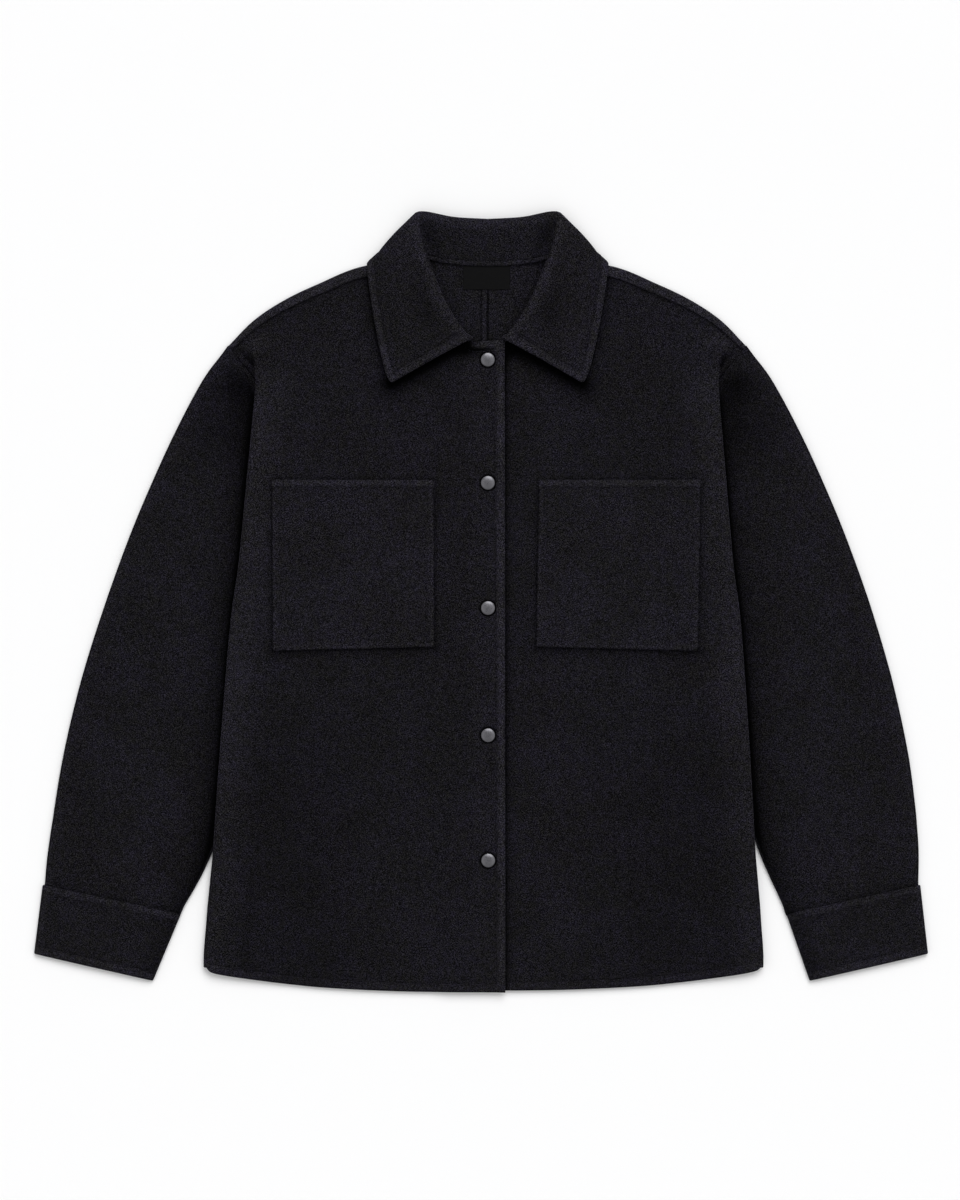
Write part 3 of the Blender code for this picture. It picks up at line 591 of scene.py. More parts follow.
def frontCloth(name, side, over):
    cloth = jacket["cloth"]
    atNeck, atHem = front["edge"]
    if over:
        atHem, atNeck, rise = -atHem, -atNeck, 0.0
    else:
        atHem, atNeck, rise = atHem - front["underWidth"], atNeck - front["underWidth"], body["underRise"]
    cornerHalf, cornerUp = body["corner"]
    corner = (cornerHalf - cloth / 2 - float(foldBend(cornerUp)), cornerUp)
    start = np.array((atHem, body["hemMiddle"] + rise))
    neckFront = np.array((atNeck, body["neckUp"] - rise))
    hem = [start] + [(half, up + rise) for half, up in body["hem"]] + [corner]
    fold = [(half - cloth / 2 - float(foldBend(up)), up) for half, up in body["sideFold"]]
    seamUp = body["armhole"][1][1]
    tucked = np.array((float(foldHalf(seamUp)) - cloth / 2 + 1.2, seamUp + 0.3))
    vArm = front["armholeShare"]

    # top edge, neck and shoulder seam in one line
    along = np.linspace(0.0, 1.0, 160)
    outline, outward, width = shoulderEdge(along)
    shoulder = outline - outward * (width + front["shoulderGap"])[:, None]
    shoulder += np.array(front["shoulderTuck"]) * ease(along, 0.97, 1.0)[:, None]
    neck = spline([neckFront] + list(front["neck"]) + [shoulder[0]], np.linspace(0, 1, 90))
    upper = np.vstack([neck[:-1], shoulder])

    def bottom(u):
        return spline(hem, u)

    def top(u):
        return pointsAlong(upper, np.asarray(u, float) * runLengths(upper)[-1])

    def left(v):
        return start + (neckFront - start) * np.asarray(v, float)[..., None]

    def right(v):
        v = np.asarray(v, float)
        edge = spline([corner] + fold + [tucked], np.minimum(v / vArm, 1.0))
        seam = tucked + (upper[-1] - tucked) * np.clip((v - vArm) / (1 - vArm), 0, 1)[..., None]
        return np.where((v < vArm)[..., None], edge, seam)

    near = np.array(bandSteps)
    lower, high = front["rows"]
    tall = front["gridHeight"]
    between = np.r_[np.linspace(near[-1] / tall, vArm, lower + 2)[1:-1],
                    np.linspace(vArm, 1.0 - near[-1] / tall, high + 1)[:-1]]
    snapSteps = np.arange(-snap["ringReach"], snap["ringReach"] + 0.1)
    if over:    # finer rows where the painted shadow rings round the snaps lie
        rows = (np.add.outer(snap["heights"], snapSteps).ravel() - start[1]) / (neckFront[1] - start[1])
        apart = np.abs(np.subtract.outer(between, rows)).min(axis=1) * tall
        between = np.sort(np.r_[between[(apart > 1.2) | (between == vArm)], rows])
    shares = np.r_[near / tall, between, 1.0 - near[::-1] / tall]
    widths = np.linalg.norm(right(shares) - left(shares), axis=-1)
    besides = tuple(snap["inset"] + snapSteps[4:]) if over else front["underSteps"]
    across = steps(widths, front["columns"], bandSteps + besides, front["seamSteps"])
    u = across / widths[:, None]
    lengths = np.linalg.norm(top(u[-1]) - bottom(u[0]), axis=-1)
    v = np.repeat(shares[:, None], u.shape[1], axis=1)
    v[:len(near)] = near[:, None] / lengths
    v[-len(near):] = 1.0 - near[::-1, None] / lengths
    points = coons(bottom, top, left, right, u, v)

    half, up = points[..., 0], points[..., 1]
    fromHem, fromTop, fromSeam = v * lengths, (1 - v) * lengths, widths[:, None] - across
    atTop = 1.0 - ease(half, *front["topEnd"])
    atSeam = smooth((v - vArm) / 0.03)
    # painted highlight and groove shade on the hem's band, with its real lift
    napAndPaintedShading, lift = front["paintedHemBand"] * paintedBandShading(fromHem), feltBand(fromHem)
    if over:
        lift = np.where(across < fromHem, feltBand(across), lift)
        # painted highlights on the edge's and top's bands, painted shade below the top band
        napAndPaintedShading = np.where(across < fromHem, paintedBandShading(across) + front["paintedEdgeShading"] * onBand(across), napAndPaintedShading)
        lift = np.where(fromTop < across, atTop * feltBand(fromTop), lift)
        topBand = paintedBandShading(fromTop) + front["paintedTopLight"] * onBand(fromTop)
        topBand = topBand - front["topShade"] * hump(fromTop - felled["band"] - 0.6, 1.4)
        napAndPaintedShading = np.where(fromTop < across, atTop * topBand, napAndPaintedShading)
        lift = lift + front["hover"] * hump(across, front["hoverWidth"])
        for snapUp in snap["heights"]:
            away = np.hypot(half + overEdge(up) - snap["inset"], up - snapUp)
            # painted shadow ring round each snap, and the real dimple
            napAndPaintedShading = napAndPaintedShading - snap["pressed"] * (1.0 - ease(away, *snap["ring"]))
            lift = lift - snap["dimple"] * (1.0 - ease(away, *snap["hollow"]))
    else:       # smooth where it lies under the over front, with painted shadow beside that one's edge
        clear = ease(half, *front["underClear"])
        past = half - overEdge(up)
        beside = ease(past, -3.0, -1.0) * fading(past, front["besideReach"])
        lift, napAndPaintedShading = lift * clear, napAndPaintedShading * clear - front["paintedShadowBesideEdge"] * beside
    lift = lift - atSeam * 0.5 * hump(fromSeam - front["seamWidth"], 0.7)
    grid = raisedTo(points, frontHeight(points, over) + lift)
    thin = rounding(fromHem, cloth) * rounding(fromTop, cloth) * rounding(across, cloth)
    thin = thin * np.where(v > vArm, rounding(fromSeam, cloth), 1.0)

    # painted shadows of the collar and the pockets, painted highlight by the side fold, darker low at the
    # sides, paler down the placket
    bothEnds = np.stack([np.abs(half), up], axis=-1)
    napAndPaintedShading = napAndPaintedShading + besideCollar(bothEnds) * smooth((front["collarReach"] - up + half) / 6.0)
    napAndPaintedShading = napAndPaintedShading + besidePocket(points)
    rim = smooth((half - foldHalf(up) + front["rimWidth"]) / front["rimWidth"])
    napAndPaintedShading = napAndPaintedShading + front["paintedRimLight"] * rim * (1.0 - ease(up, *front["rimEnd"]))
    napAndPaintedShading = napAndPaintedShading - front["lowShade"] * ease(up, *front["lowUp"]) * ease(half, *front["lowHalf"])
    if over:
        napAndPaintedShading = napAndPaintedShading + front["placketPaler"] * (1.0 - ease(across, *front["placketWidth"]))
    # painted highlight at the shoulder's end, painted shadow under the collar by the neck
    for *where, rise in front["spots"]:
        napAndPaintedShading = napAndPaintedShading + rise * spot(half, up, *where)
    # painted highlight on the armhole seam's band, painted shade along the shoulder and armhole seams and
    # in the hollow past the fold
    napAndPaintedShading = napAndPaintedShading + atSeam * 0.5 * paintedBandShading(fromSeam * felled["band"] / front["seamWidth"])
    napAndPaintedShading = napAndPaintedShading - front["shoulderShade"] * ease(half, *front["shoulderHalf"]) * fading(fromTop, 1.9)
    napAndPaintedShading = napAndPaintedShading - front["armholeShade"] * atSeam * fading(fromSeam, 0.9)
    past = half - tableAt(front["hollow"], up)
    inHollow = ease(past, -1.5, 1.5) * fading(past, front["hollowReach"])
    inHollow = inHollow * ease(up, *front["hollowTop"]) * ease(up, *front["hollowFoot"])
    napAndPaintedShading = napAndPaintedShading - front["hollowShade"] * inHollow
    bend = np.where(shares < vArm, foldBend(grid[:, -1, 1]), 0.0)
    under = [grid[:, -1] + np.stack([bend * np.cos(angle), 0 * bend, -bend * (1 - np.sin(angle))], axis=-1)
             for angle in np.radians(np.linspace(78, -66, 13))]
    grid = np.concatenate([grid, np.stack(under, axis=1)], axis=1)
    thin, napAndPaintedShading = (np.concatenate([part, np.repeat(part[:, -1:], len(under), axis=1)], axis=1)
                 for part in (thin, napAndPaintedShading))
    return shell(name, lay(side, grid), cloth, thin, woolCloth, napAndPaintedShading=napAndPaintedShading), clothArea(grid)


frontRight, frontRightCut = frontCloth("frontRightCloth", -1, True)
frontLeft, frontLeftCut = frontCloth("frontLeftCloth", 1, False)


sleeve = {
    "outer": ((249.5, 246.0), (273.5, 214.3), (303.8, 156.5), (338.0, 79.4), (366.4, 2.4),
              (390.0, -74.6), (407.3, -151.7), (417.9, -228.7), (420.4, -270.6)),
    "inner": ((179.0, 25.0), (222.0, -120.0), (262.0, -238.3), (290.0, -299.0)),
    "straight": 2 / 9,              # share of the armhole seam that shows, which is straight
    "crown": 6.0, "crownEnds": 0.25, "crownLoss": 0.8, "crownPower": 0.8,
    # sideways by share of the length: both sleeves lie over to one side
    "swing": ((0.0, 0.0), (1.2, 0.25), (1.8, 0.5), (1.1, 0.78), (0.4, 0.88), (-0.6, 0.935), (-2.4, 1.0)),
    "leftTrim": (1.2, 3.4),         # the left one is folded narrower at its inner side, low down
    "tuck": 2.2,                    # the end goes this far into the cuff
    "tip": (-0.6, 2.4),             # the top point goes under the shoulder's end
    "length": 566.0, "rows": 150, "across": 84, "under": 26,
    # painted shade beside the body's fold, close to it and at the inner fold, and painted highlight
    # at the outer fold: depth, how far it reaches
    "paintedFoldShade": (0.54, 13.0), "paintedFootShade": (0.5, 3.0), "paintedOuterLight": (-0.55, 5.0), "paintedInnerShade": (0.55, 11.0),
    # painted highlight along the crown, and painted shade on the underside
    "paintedCrownLight": 0.05, "paintedUnderShade": -0.2,
    "foldSides": (1.6, 1.1),        # the right one gets more painted shade
    "paintedCuffShade": (0.75, 3.8),         # painted shade above the cuff, on the sleeve
    "underCreases": (
        (300.0, 40.0, 112.0, 70.0, 12.0, 1.2, 8.0), (340.0, -110.0, 104.0, 80.0, 13.0, 1.4, -8.0),
        (330.0, -215.0, 60.0, 40.0, 10.0, 0.9, 5.0), (372.0, -40.0, 108.0, 60.0, 10.0, 0.8, 6.0),
    ),
    # painted shade on the head beside the fold: half, up, reach of both, depth
    "headShades": ((240.0, 208.0, 22.0, 18.0, 0.6), (267.0, 164.0, 22.0, 32.0, 0.32),
                   (240.0, 174.0, 16.0, 36.0, 0.36)),
    "rightCreases": (
        (300.0, 96.0, 62.0, 90.0, 17.0, 0.9, 12.0), (352.0, -62.0, 96.0, 105.0, 20.0, 0.8, -10.0),
        (318.0, -128.0, 74.0, 70.0, 15.0, -0.8, 8.0), (372.0, -196.0, 84.0, 66.0, 17.0, 0.7, 7.0),
        (332.0, -236.0, 108.0, 44.0, 13.0, 0.6, -6.0), (268.0, 150.0, 70.0, 48.0, 12.0, 0.7, 6.0),
    ),
    "leftCreases": (
        (292.0, 112.0, 66.0, 80.0, 18.0, 0.8, -10.0), (340.0, -24.0, 72.0, 95.0, 18.0, 0.9, 11.0),
        (382.0, -120.0, 94.0, 80.0, 19.0, 0.7, 8.0), (328.0, -168.0, 82.0, 64.0, 14.0, -0.7, -8.0),
        (364.0, -238.0, 100.0, 40.0, 14.0, 0.6, 5.0), (276.0, 164.0, 60.0, 42.0, 11.0, 0.8, -5.0),
    ),
}


def armholeSeam(share):
    share = np.asarray(share, float)
    first, second = np.array(body["armhole"][0]), np.array(body["armhole"][1])
    straight = first + (second - first) * np.minimum(share / sleeve["straight"], 1.0)[..., None]
    hidden = spline(body["armhole"][1:], np.clip(
        (share - sleeve["straight"]) / (1 - sleeve["straight"]), 0, 1))
    return np.where((share < sleeve["straight"])[..., None], straight, hidden)


def trimmed(line, inset, count):        # the same line, shorter at both ends
    return pointsAlong(line, np.linspace(inset, runLengths(line)[-1] - inset, count))


def tubeRing(line, lowLine, low, height, ridge=0.0):
    turn = np.radians(np.linspace(68, -68, 7))

    def fold(end, before, size, angles):
        way = (end - before) / np.linalg.norm(end - before)
        return np.c_[end + (size * np.cos(angles))[:, None] * way, low + size + size * np.sin(angles)]

    # over the top, round one fold, back below, round the other
    first, last = (height[[0, -1]] - low) / 2
    return np.vstack([np.c_[line, height], fold(line[-1], line[-2], last, turn),
                      np.c_[lowLine, np.full(len(lowLine), low) + ridge][::-1],
                      fold(line[0], line[1], first, -turn)])


def flatPart(line):
    return np.c_[line, np.zeros(len(line))]


def tubeCloth(name, side, rings, tops, fromEnd, cloth, napAndPaintedShading):
    grid = np.array(rings)
    thin = np.repeat(rounding(fromEnd, cloth)[:, None], grid.shape[1], axis=1)
    piece = shell(name, lay(side, grid), cloth, thin, woolCloth, closed=True, napAndPaintedShading=napAndPaintedShading)
    return piece, 2 * clothArea(np.array(tops))     # flat cut: both sides of the tube


def sleeveCloth(name, side, creases):
    cloth = jacket["cloth"]
    station = steps(sleeve["length"], sleeve["rows"], roundSteps, (0.0, 1.0, 2.5, 5.0)) / sleeve["length"]
    spread = np.linspace(0.0, 1.0, sleeve["across"])
    trims = sleeve["leftTrim"] if side > 0 else (0.0, 0.0)
    innerFold = sleeve["inner"][:2] + tuple(
        (half + trim, up) for (half, up), trim in zip(sleeve["inner"][2:], trims))
    outer, inner = spline(sleeve["outer"], station), spline(innerFold, station)
    seam = armholeSeam(spread)
    bow = seam - (seam[0] + (seam[-1] - seam[0]) * spread[:, None])
    inset = (jacket["sleeveLayer"] - jacket["backLayer"]) / 2 + cloth / 2
    rings, tops, naps = [], [], []
    for share, far, near in zip(station, outer, inner):
        full = far + (near - far) * spread[:, None] + bow * (1.0 - share) ** 3
        line = trimmed(full, inset, sleeve["across"])
        edge = tableAt(sleeve["outer"], line[:, 1])
        hidden = np.maximum(foldHalf(line[:, 1]) + cloth, tableAt(innerFold, line[:, 1]))
        place = np.clip((edge - line[:, 0]) / (edge - hidden), 0.0, 1.0)
        ends = smooth(share / sleeve["crownEnds"]) * (
            1.0 - sleeve["crownLoss"] * ease(share, 1.0 - sleeve["crownEnds"], 1.0))
        crown = sleeve["crown"] * ends * np.sin(np.pi * place) ** sleeve["crownPower"]
        low = smooth(crown / 2.5)
        height = jacket["sleeveLayer"] + crown + creased(line, creases) * low
        under = trimmed(full, inset, sleeve["under"])
        ridge = creased(under, sleeve["underCreases"]) * ends * np.sin(np.linspace(0, np.pi, len(under)))
        ring = tubeRing(line, under, jacket["backLayer"], height, ridge)
        ring[:, 0] += side * tableAt(sleeve["swing"], share)
        ring[:, 1] -= sleeve["tuck"] * ease(share, 0.97, 1.0)
        tip = (1.0 - smooth(share / 0.03)) * np.exp(-np.abs(edge[0] - ring[:, 0]) / 6.0)
        ring[:, :2] += tip[:, None] * np.array(sleeve["tip"])
        rings.append(ring)
        tops.append(flatPart(full))
        # painted highlight on the crown and the outer fold, painted shade by the body's fold, at the inner
        # fold, above the cuff, on the head and on the underside
        napAndPaintedShading = sleeve["paintedCrownLight"] * np.sin(np.pi * place) ** 2
        half, up = line.T
        moreShade = sleeve["foldSides"][int(side > 0)]
        for part, distance, more in (("paintedFoldShade", half - foldHalf(up), moreShade),
                                     ("paintedFootShade", half - foldHalf(up), moreShade),
                                     ("paintedOuterLight", edge - half, 1.0),
                                     ("paintedInnerShade", half - tableAt(innerFold, up), 1.0)):
            depth, reach = sleeve[part]
            napAndPaintedShading = napAndPaintedShading - depth * more * fading(distance, reach) * smooth(share / 0.02)
        depth, reach = sleeve["paintedCuffShade"]
        napAndPaintedShading = napAndPaintedShading - depth * fading((1.0 - share) * sleeve["length"], reach)
        for *where, depth in sleeve["headShades"]:
            napAndPaintedShading = (1.0 + napAndPaintedShading) * (1.0 - depth * spot(half, up, *where)) - 1.0
        naps.append(np.r_[napAndPaintedShading, np.full(len(ring) - len(napAndPaintedShading), sleeve["paintedUnderShade"])])
    return tubeCloth(name, side, rings, tops, station * sleeve["length"], cloth, np.array(naps))


sleeveRight, sleeveRightCut = sleeveCloth("sleeveRightCloth", -1, sleeve["rightCreases"])
sleeveLeft, sleeveLeftCut = sleeveCloth("sleeveLeftCloth", 1, sleeve["leftCreases"])

cuff = {
    "cloth": 2.2, "layer": 3.7, "crown": 1.2, "length": 65.4,
    "top": ((422.3, -271.6), (289.0, -299.6)), "bottom": ((430.2, -337.9), (315.6, -364.0)),
    "leftTrim": (4.5, 0.8),
    "rows": 12, "across": 46, "under": 20,
    # painted highlight and groove shade on the bands, painted highlight at the outer end, painted shade at
    # the inner end, paler all over
    "paintedBandShading": 0.8, "paintedOuterLight": 0.4, "paintedInnerShade": 0.3, "basePaler": 0.04,
    "creases": ((370.0, -318.0, 78.0, 22.0, 14.0, 0.35, 3.0), (338.0, -326.0, 100.0, 18.0, 11.0, 0.3, -2.0),
                (404.0, -306.0, 86.0, 20.0, 12.0, 0.3, 2.0)),
}


def cuffCloth(name, side):
    cloth = cuff["cloth"]
    top, bottom = np.array(cuff["top"]), np.array(cuff["bottom"])
    if side > 0:
        top[1, 0] += cuff["leftTrim"][0]
        bottom[1, 0] += cuff["leftTrim"][1]
    inset = (cuff["layer"] - cloth / 2) / 2 + cloth / 2
    down = steps(cuff["length"], cuff["rows"], bandSteps, bandSteps)
    spread = np.linspace(0.0, 1.0, 30)[:, None]
    rings, tops = [], []
    for distance in down:
        share = distance / cuff["length"]
        far, near = top + (bottom - top) * share
        full = far + (near - far) * spread
        line = trimmed(full, inset, cuff["across"])
        swell = cuff["crown"] * np.sin(np.pi * np.linspace(0, 1, cuff["across"]))
        height = cuff["layer"] + swell + creased(line, cuff["creases"])
        fade = smooth(np.minimum(np.arange(cuff["across"]), np.arange(cuff["across"])[::-1]) / 2)
        height = height + fade * feltBand(min(distance, cuff["length"] - distance))
        ring = tubeRing(line, trimmed(full, inset, cuff["under"]), cloth / 2, height)
        ring[:, 0] += side * sleeve["swing"][-1][0]
        rings.append(ring)
        tops.append(flatPart(full))
    # painted highlight at the outer end and on the bands, painted shade at the inner end
    edge = np.minimum(down, cuff["length"] - down)
    place = np.linspace(0, 1, cuff["across"])
    ends = cuff["paintedOuterLight"] * (1 - ease(place, 0.0, 0.06)) - cuff["paintedInnerShade"] * ease(place, 0.8, 1.0)
    ends = np.r_[ends, np.zeros(len(rings[0]) - len(ends))]
    napAndPaintedShading = cuff["basePaler"] + cuff["paintedBandShading"] * paintedBandShading(edge)[:, None] + ends
    return tubeCloth(name, side, rings, tops, edge, cloth, napAndPaintedShading)


cuffRight, cuffRightCut = cuffCloth("cuffRightCloth", -1)
cuffLeft, cuffLeftCut = cuffCloth("cuffLeftCloth", 1)

back = {
    "neck": ((0.0, 325.0), (30.0, 325.8), (50.0, 328.0)),
    "slit": -0.05, "seamShade": (0.95, 1.0),
    # the seam's allowance is felled to one side: width, lift, groove
    "felled": (5.7, 0.4, 0.5),
    "hemInset": 1.0, "sideGap": 3.8, "armholeGap": -0.9,
    "neckTuck": 3.2, "neckThin": 0.35, "rows": 110, "neckColumns": 14, "shoulderColumns": 46,
    # paler all over, painted highlight on the felled strip, painted shade in its grooves and by the
    # collar's roll
    "basePaler": 0.1, "paintedStripLight": 0.28, "stripShade": 0.95, "rollShade": (0.4, 4.5),
    # painted highlight on the band over the shoulder, painted shade at its free edge
    "paintedBandShading": 0.85, "bandShade": 0.7,
    # low ridges of the hidden side, where the front stands clear above
    "creases": ((205.0, -150.0, 84.0, 70.0, 11.0, 1.0, 6.0), (226.0, -206.0, 97.0, 58.0, 10.0, 0.8, -5.0),
                (189.0, -72.0, 70.0, 46.0, 8.0, 0.7, 4.0), (190.0, 95.0, 60.0, 44.0, 9.0, 0.9, 5.0)),
    # distances from the centre seam, and from the free edge of the band over the shoulder
    "centreSteps": (0.0, 0.35, 0.8, 1.4, 2.4, 3.4, 4.2, 4.8, 5.3, 5.7, 6.1, 6.7, 7.6, 9.2, 12.0),
    "freeSteps": (6.0, 4.2, 2.8, 2.0, 1.1, 0.7, 0.35, 0.1, 0.0),
}


def backCloth(name, side):
    cloth, slit, low = jacket["cloth"], back["slit"], jacket["backLayer"]
    bend = (jacket["frontLayer"] - low) / 2
    inset = bend + cloth / 2
    along = np.linspace(0.0, 1.0, back["shoulderColumns"])
    outline, outward, width = shoulderEdge(along)
    turn = outline - outward * inset
    neckLine = [(slit, back["neck"][0][1] + back["neckTuck"])]
    neckLine += [(half, up + back["neckTuck"]) for half, up in back["neck"][1:]] + [turn[0]]
    neckLength = splineLength(neckLine)
    centreSteps = back["centreSteps"]
    neckSteps = steps(neckLength, back["neckColumns"], centreSteps, (0.03, 1.5, 4.0)) / neckLength
    top = np.vstack([spline(neckLine, neckSteps), turn])
    bare = len(neckSteps)
    u = (top[:, 0] - slit) / (top[-1, 0] - slit)
    rise = body["underRise"]
    cornerHalf, cornerUp = body["corner"]
    hem = [(slit, body["hemMiddle"] + rise)]
    hem += [(half - back["hemInset"], up + rise) for half, up in body["hem"]]
    hem += [(cornerHalf - back["hemInset"], cornerUp + back["hemInset"])]
    bottom = spline(hem, u)
    sideLine = [hem[-1]] + list(body["sideFold"][:2]) + list(sleeve["inner"][2::-1])
    sideLine = [sideLine[0]] + [(half - back["sideGap"], up) for half, up in sideLine[1:]]
    seam = armholeSeam(np.linspace(1.0, 0.0, 40)) - np.array((back["armholeGap"], 0.0))
    edge = np.vstack([spline(sideLine, np.linspace(0, 1, 60)), seam[1:-1], top[-1:]])
    tall = runLengths(edge)[-1]
    v = steps(tall, back["rows"], roundSteps, (0.0, 1.0, 3.0, 6.0)) / tall
    right = pointsAlong(edge, v * tall)
    left = bottom[0] + (top[0] - bottom[0]) * v[:, None]
    s, t = u[None, :, None], v[:, None, None]
    corners = fourCorners(s, t, bottom[0], bottom[-1], top[-1], top[0])
    points = (1 - t) * bottom + t * top + (1 - s) * left[:, None] + s * right[:, None] - corners
    points[:, :len(centreSteps), 0] = top[:len(centreSteps), 0]
    centre = points[..., 0]
    wide, raised, groove = back["felled"]
    onStrip = (1 - smooth((centre - wide + 0.5) / 1.0)) if side < 0 else 0.0 * centre
    line = hump(centre - wide, 1.2) if side < 0 else 0.0 * centre
    height = low + raised * onStrip - groove * line + creased(points, back["creases"])
    grid = [raisedTo(points, height)]
    cut = clothArea(grid[0] * flatten)
    for angle in np.radians(np.linspace(-72, 90, 10)):
        row = grid[0][-1].copy()
        row[bare:, :2] = turn + outward * bend * np.cos(angle)
        row[bare:, 2] = low + bend + bend * np.sin(angle)
        grid.append(row[None])
    free = np.array(back["freeSteps"])
    reach = width - inset
    for distance in free:
        row = grid[0][-1].copy()
        share = 1.0 - np.minimum(distance / reach, 0.9)
        row[bare:, :2] = turn - outward * (reach * share)[:, None]
        row[bare:, 2] = jacket["frontLayer"] + 0.12 * np.sin(np.pi * share)
        grid.append(row[None])
    grid = np.concatenate(grid)
    thin = np.ones(grid.shape[:2])
    thin[:len(v)] *= rounding(v * tall, cloth)[:, None]
    thin[-len(free):, bare:] *= rounding(free, cloth)[:, None]
    thin[:len(v), :bare] *= np.clip(back["neckThin"] + (1 - v) * tall / 9.0, 0, 1)[:, None]
    thin[len(v):, :bare] = back["neckThin"]
    # painted highlights on the strip and the shoulder band, painted shade in the seam's grooves, by the
    # collar's roll and at the band's free edge
    napAndPaintedShading = np.zeros(grid.shape[:2])
    depth, spread = back["seamShade"]
    napAndPaintedShading[:len(v)] = back["basePaler"] + back["paintedStripLight"] * onStrip - back["stripShade"] * line
    napAndPaintedShading[:len(v)] -= depth * hump(centre - (0.4 if side > 0 else 0.0), spread)
    napAndPaintedShading[:len(v)] += besideLines(points, collarLines(1), *back["rollShade"])
    napAndPaintedShading[len(v):, bare:] = back["paintedBandShading"]
    napAndPaintedShading[-len(free):, bare:] -= back["bandShade"] * fading(free, 1.0)[:, None]
    cut += float((reach[1:] * np.diff(runLengths(turn))).sum()) * mm * mm
    return shell(name, lay(side, grid), cloth, thin, woolCloth, napAndPaintedShading=napAndPaintedShading), cut


backRight, backRightCut = backCloth("backRightCloth", -1)
backLeft, backLeftCut = backCloth("backLeftCloth", 1)


def roundedCorner(a, b, radius):        # distances from two edges, drawn in to a rounded corner
    wa, wb = np.clip(1 - a / radius, 0, 1), np.clip(1 - b / radius, 0, 1)
    both = (wa > 0) & (wb > 0)
    scale = np.where(both, np.maximum(wa, wb) / np.maximum(np.hypot(wa, wb), 1e-9), 1.0)
    return (np.where(both, radius * (1 - wa * scale), a), np.where(both, radius * (1 - wb * scale), b))


def surfaceNormals(grid):
    along, across = np.gradient(grid, axis=0), np.gradient(grid, axis=1)
    normal = np.cross(along, across)
    return normal / np.maximum(np.linalg.norm(normal, axis=-1), 1e-9)[..., None]


def collarCloth(name):
    cloth = collar["cloth"]
    dense = np.linspace(0.0, 1.0, 161)
    guides = [spline([row[k] for row in collar["sections"]], dense) for k in range(4)]
    base = []
    for seam, roll, fall, edge in zip(*guides):
        stand = seam + (roll - seam) * collar["stand"]
        base.append(spline([seam, stand, roll, fall, edge], np.linspace(0, 1, 161)))
    base = np.array(base)
    alongLength = np.linalg.norm(np.diff(base, axis=0), axis=-1).sum(axis=0)
    acrossLength = np.linalg.norm(np.diff(base, axis=1), axis=-1).sum(axis=1)
    seamSteps = roundSteps + (3.0, 4.0, 4.6, 5.2, 6.0)
    wide, long = collar["spread"]
    nominal = steps(1.0, collar["columns"], np.array(seamSteps) / wide, np.array(bandSteps) / wide)
    length = np.interp(nominal, np.linspace(0, 1, 161), alongLength)
    even = np.linspace(bandSteps[-1] / long, 1.0, collar["rows"])[1:]
    f = np.vstack([np.array(bandSteps)[:, None] / length,
                   np.repeat(even[:, None], len(nominal), axis=1)])
    width = np.interp(f[:, len(nominal) // 2], dense, acrossLength)
    fromSeam = steps(width, collar["columns"], seamSteps, bandSteps)
    fromEdge = width[:, None] - fromSeam
    fromEnd = f * length
    endIn, edgeIn = roundedCorner(fromEnd, fromEdge, collar["pointRadius"])
    grid = sampled(base, endIn / length, 1.0 - edgeIn / width[:, None])
    normal = surfaceNormals(grid)
    normal *= np.sign(normal[20, -20, 2])
    outer = np.minimum(fromEnd, fromEdge)
    onFall = ease(fromSeam, 7.0, 13.0)
    lift = np.where(fromEnd < fromEdge, onFall, 1.0) * feltBand(outer)
    ridge = collar["seamRidge"] * (hump(fromSeam - collar["seamAt"], 1.6) - hump(fromSeam - 4.6, 0.6))
    grid = grid + normal * (lift + ridge)[..., None]
    thin = rounding(np.minimum(outer, fromSeam), cloth)
    # painted highlights on the bands, by the seam, along the roll and where the fall turns down; painted
    # shade inside the fold and in darker places
    napAndPaintedShading = np.where(fromEnd < fromEdge, onFall, 1.0) * paintedBandShading(outer)
    napAndPaintedShading = napAndPaintedShading + collar["basePaler"] + collar["paintedSeamLight"] * hump(fromSeam - collar["seamAt"], 2.0)
    rollAt = np.interp(f[:, 0], dense, np.linalg.norm(guides[1] - guides[0], axis=1))
    fromRoll = fromSeam - rollAt[:, None]
    crest = fromRoll - 2.0 + 4.0 * ease(f, 0.6, 0.7)       # it moves in over the back neck
    napAndPaintedShading = napAndPaintedShading + collar["paintedRollLight"] * hump(crest, collar["rollWidth"])
    place, spread, rise = collar["rim"]
    napAndPaintedShading = napAndPaintedShading + rise * hump(f - place, spread) * smooth(fromRoll / 6.0)
    depth, place, spread = collar["inside"]
    besideNeck = ease(f, 0.36, 0.42) * (1 - ease(f, 0.62, 0.67))
    napAndPaintedShading = napAndPaintedShading - depth * besideNeck * hump(fromRoll + place, spread)
    for *where, depth in collar["shades"]:
        napAndPaintedShading = napAndPaintedShading - depth * spot(f, fromSeam, *where)
    left, right = lay(-1, grid), lay(1, grid)
    whole = np.concatenate([left, right[-2::-1]])
    thin, napAndPaintedShading = (np.concatenate([part, part[-2::-1]]) for part in (thin, napAndPaintedShading))
    return shell(name, whole, cloth, thin, woolCloth, napAndPaintedShading=napAndPaintedShading), clothArea(whole)


collarPiece, collarCut = collarCloth("collarCloth")


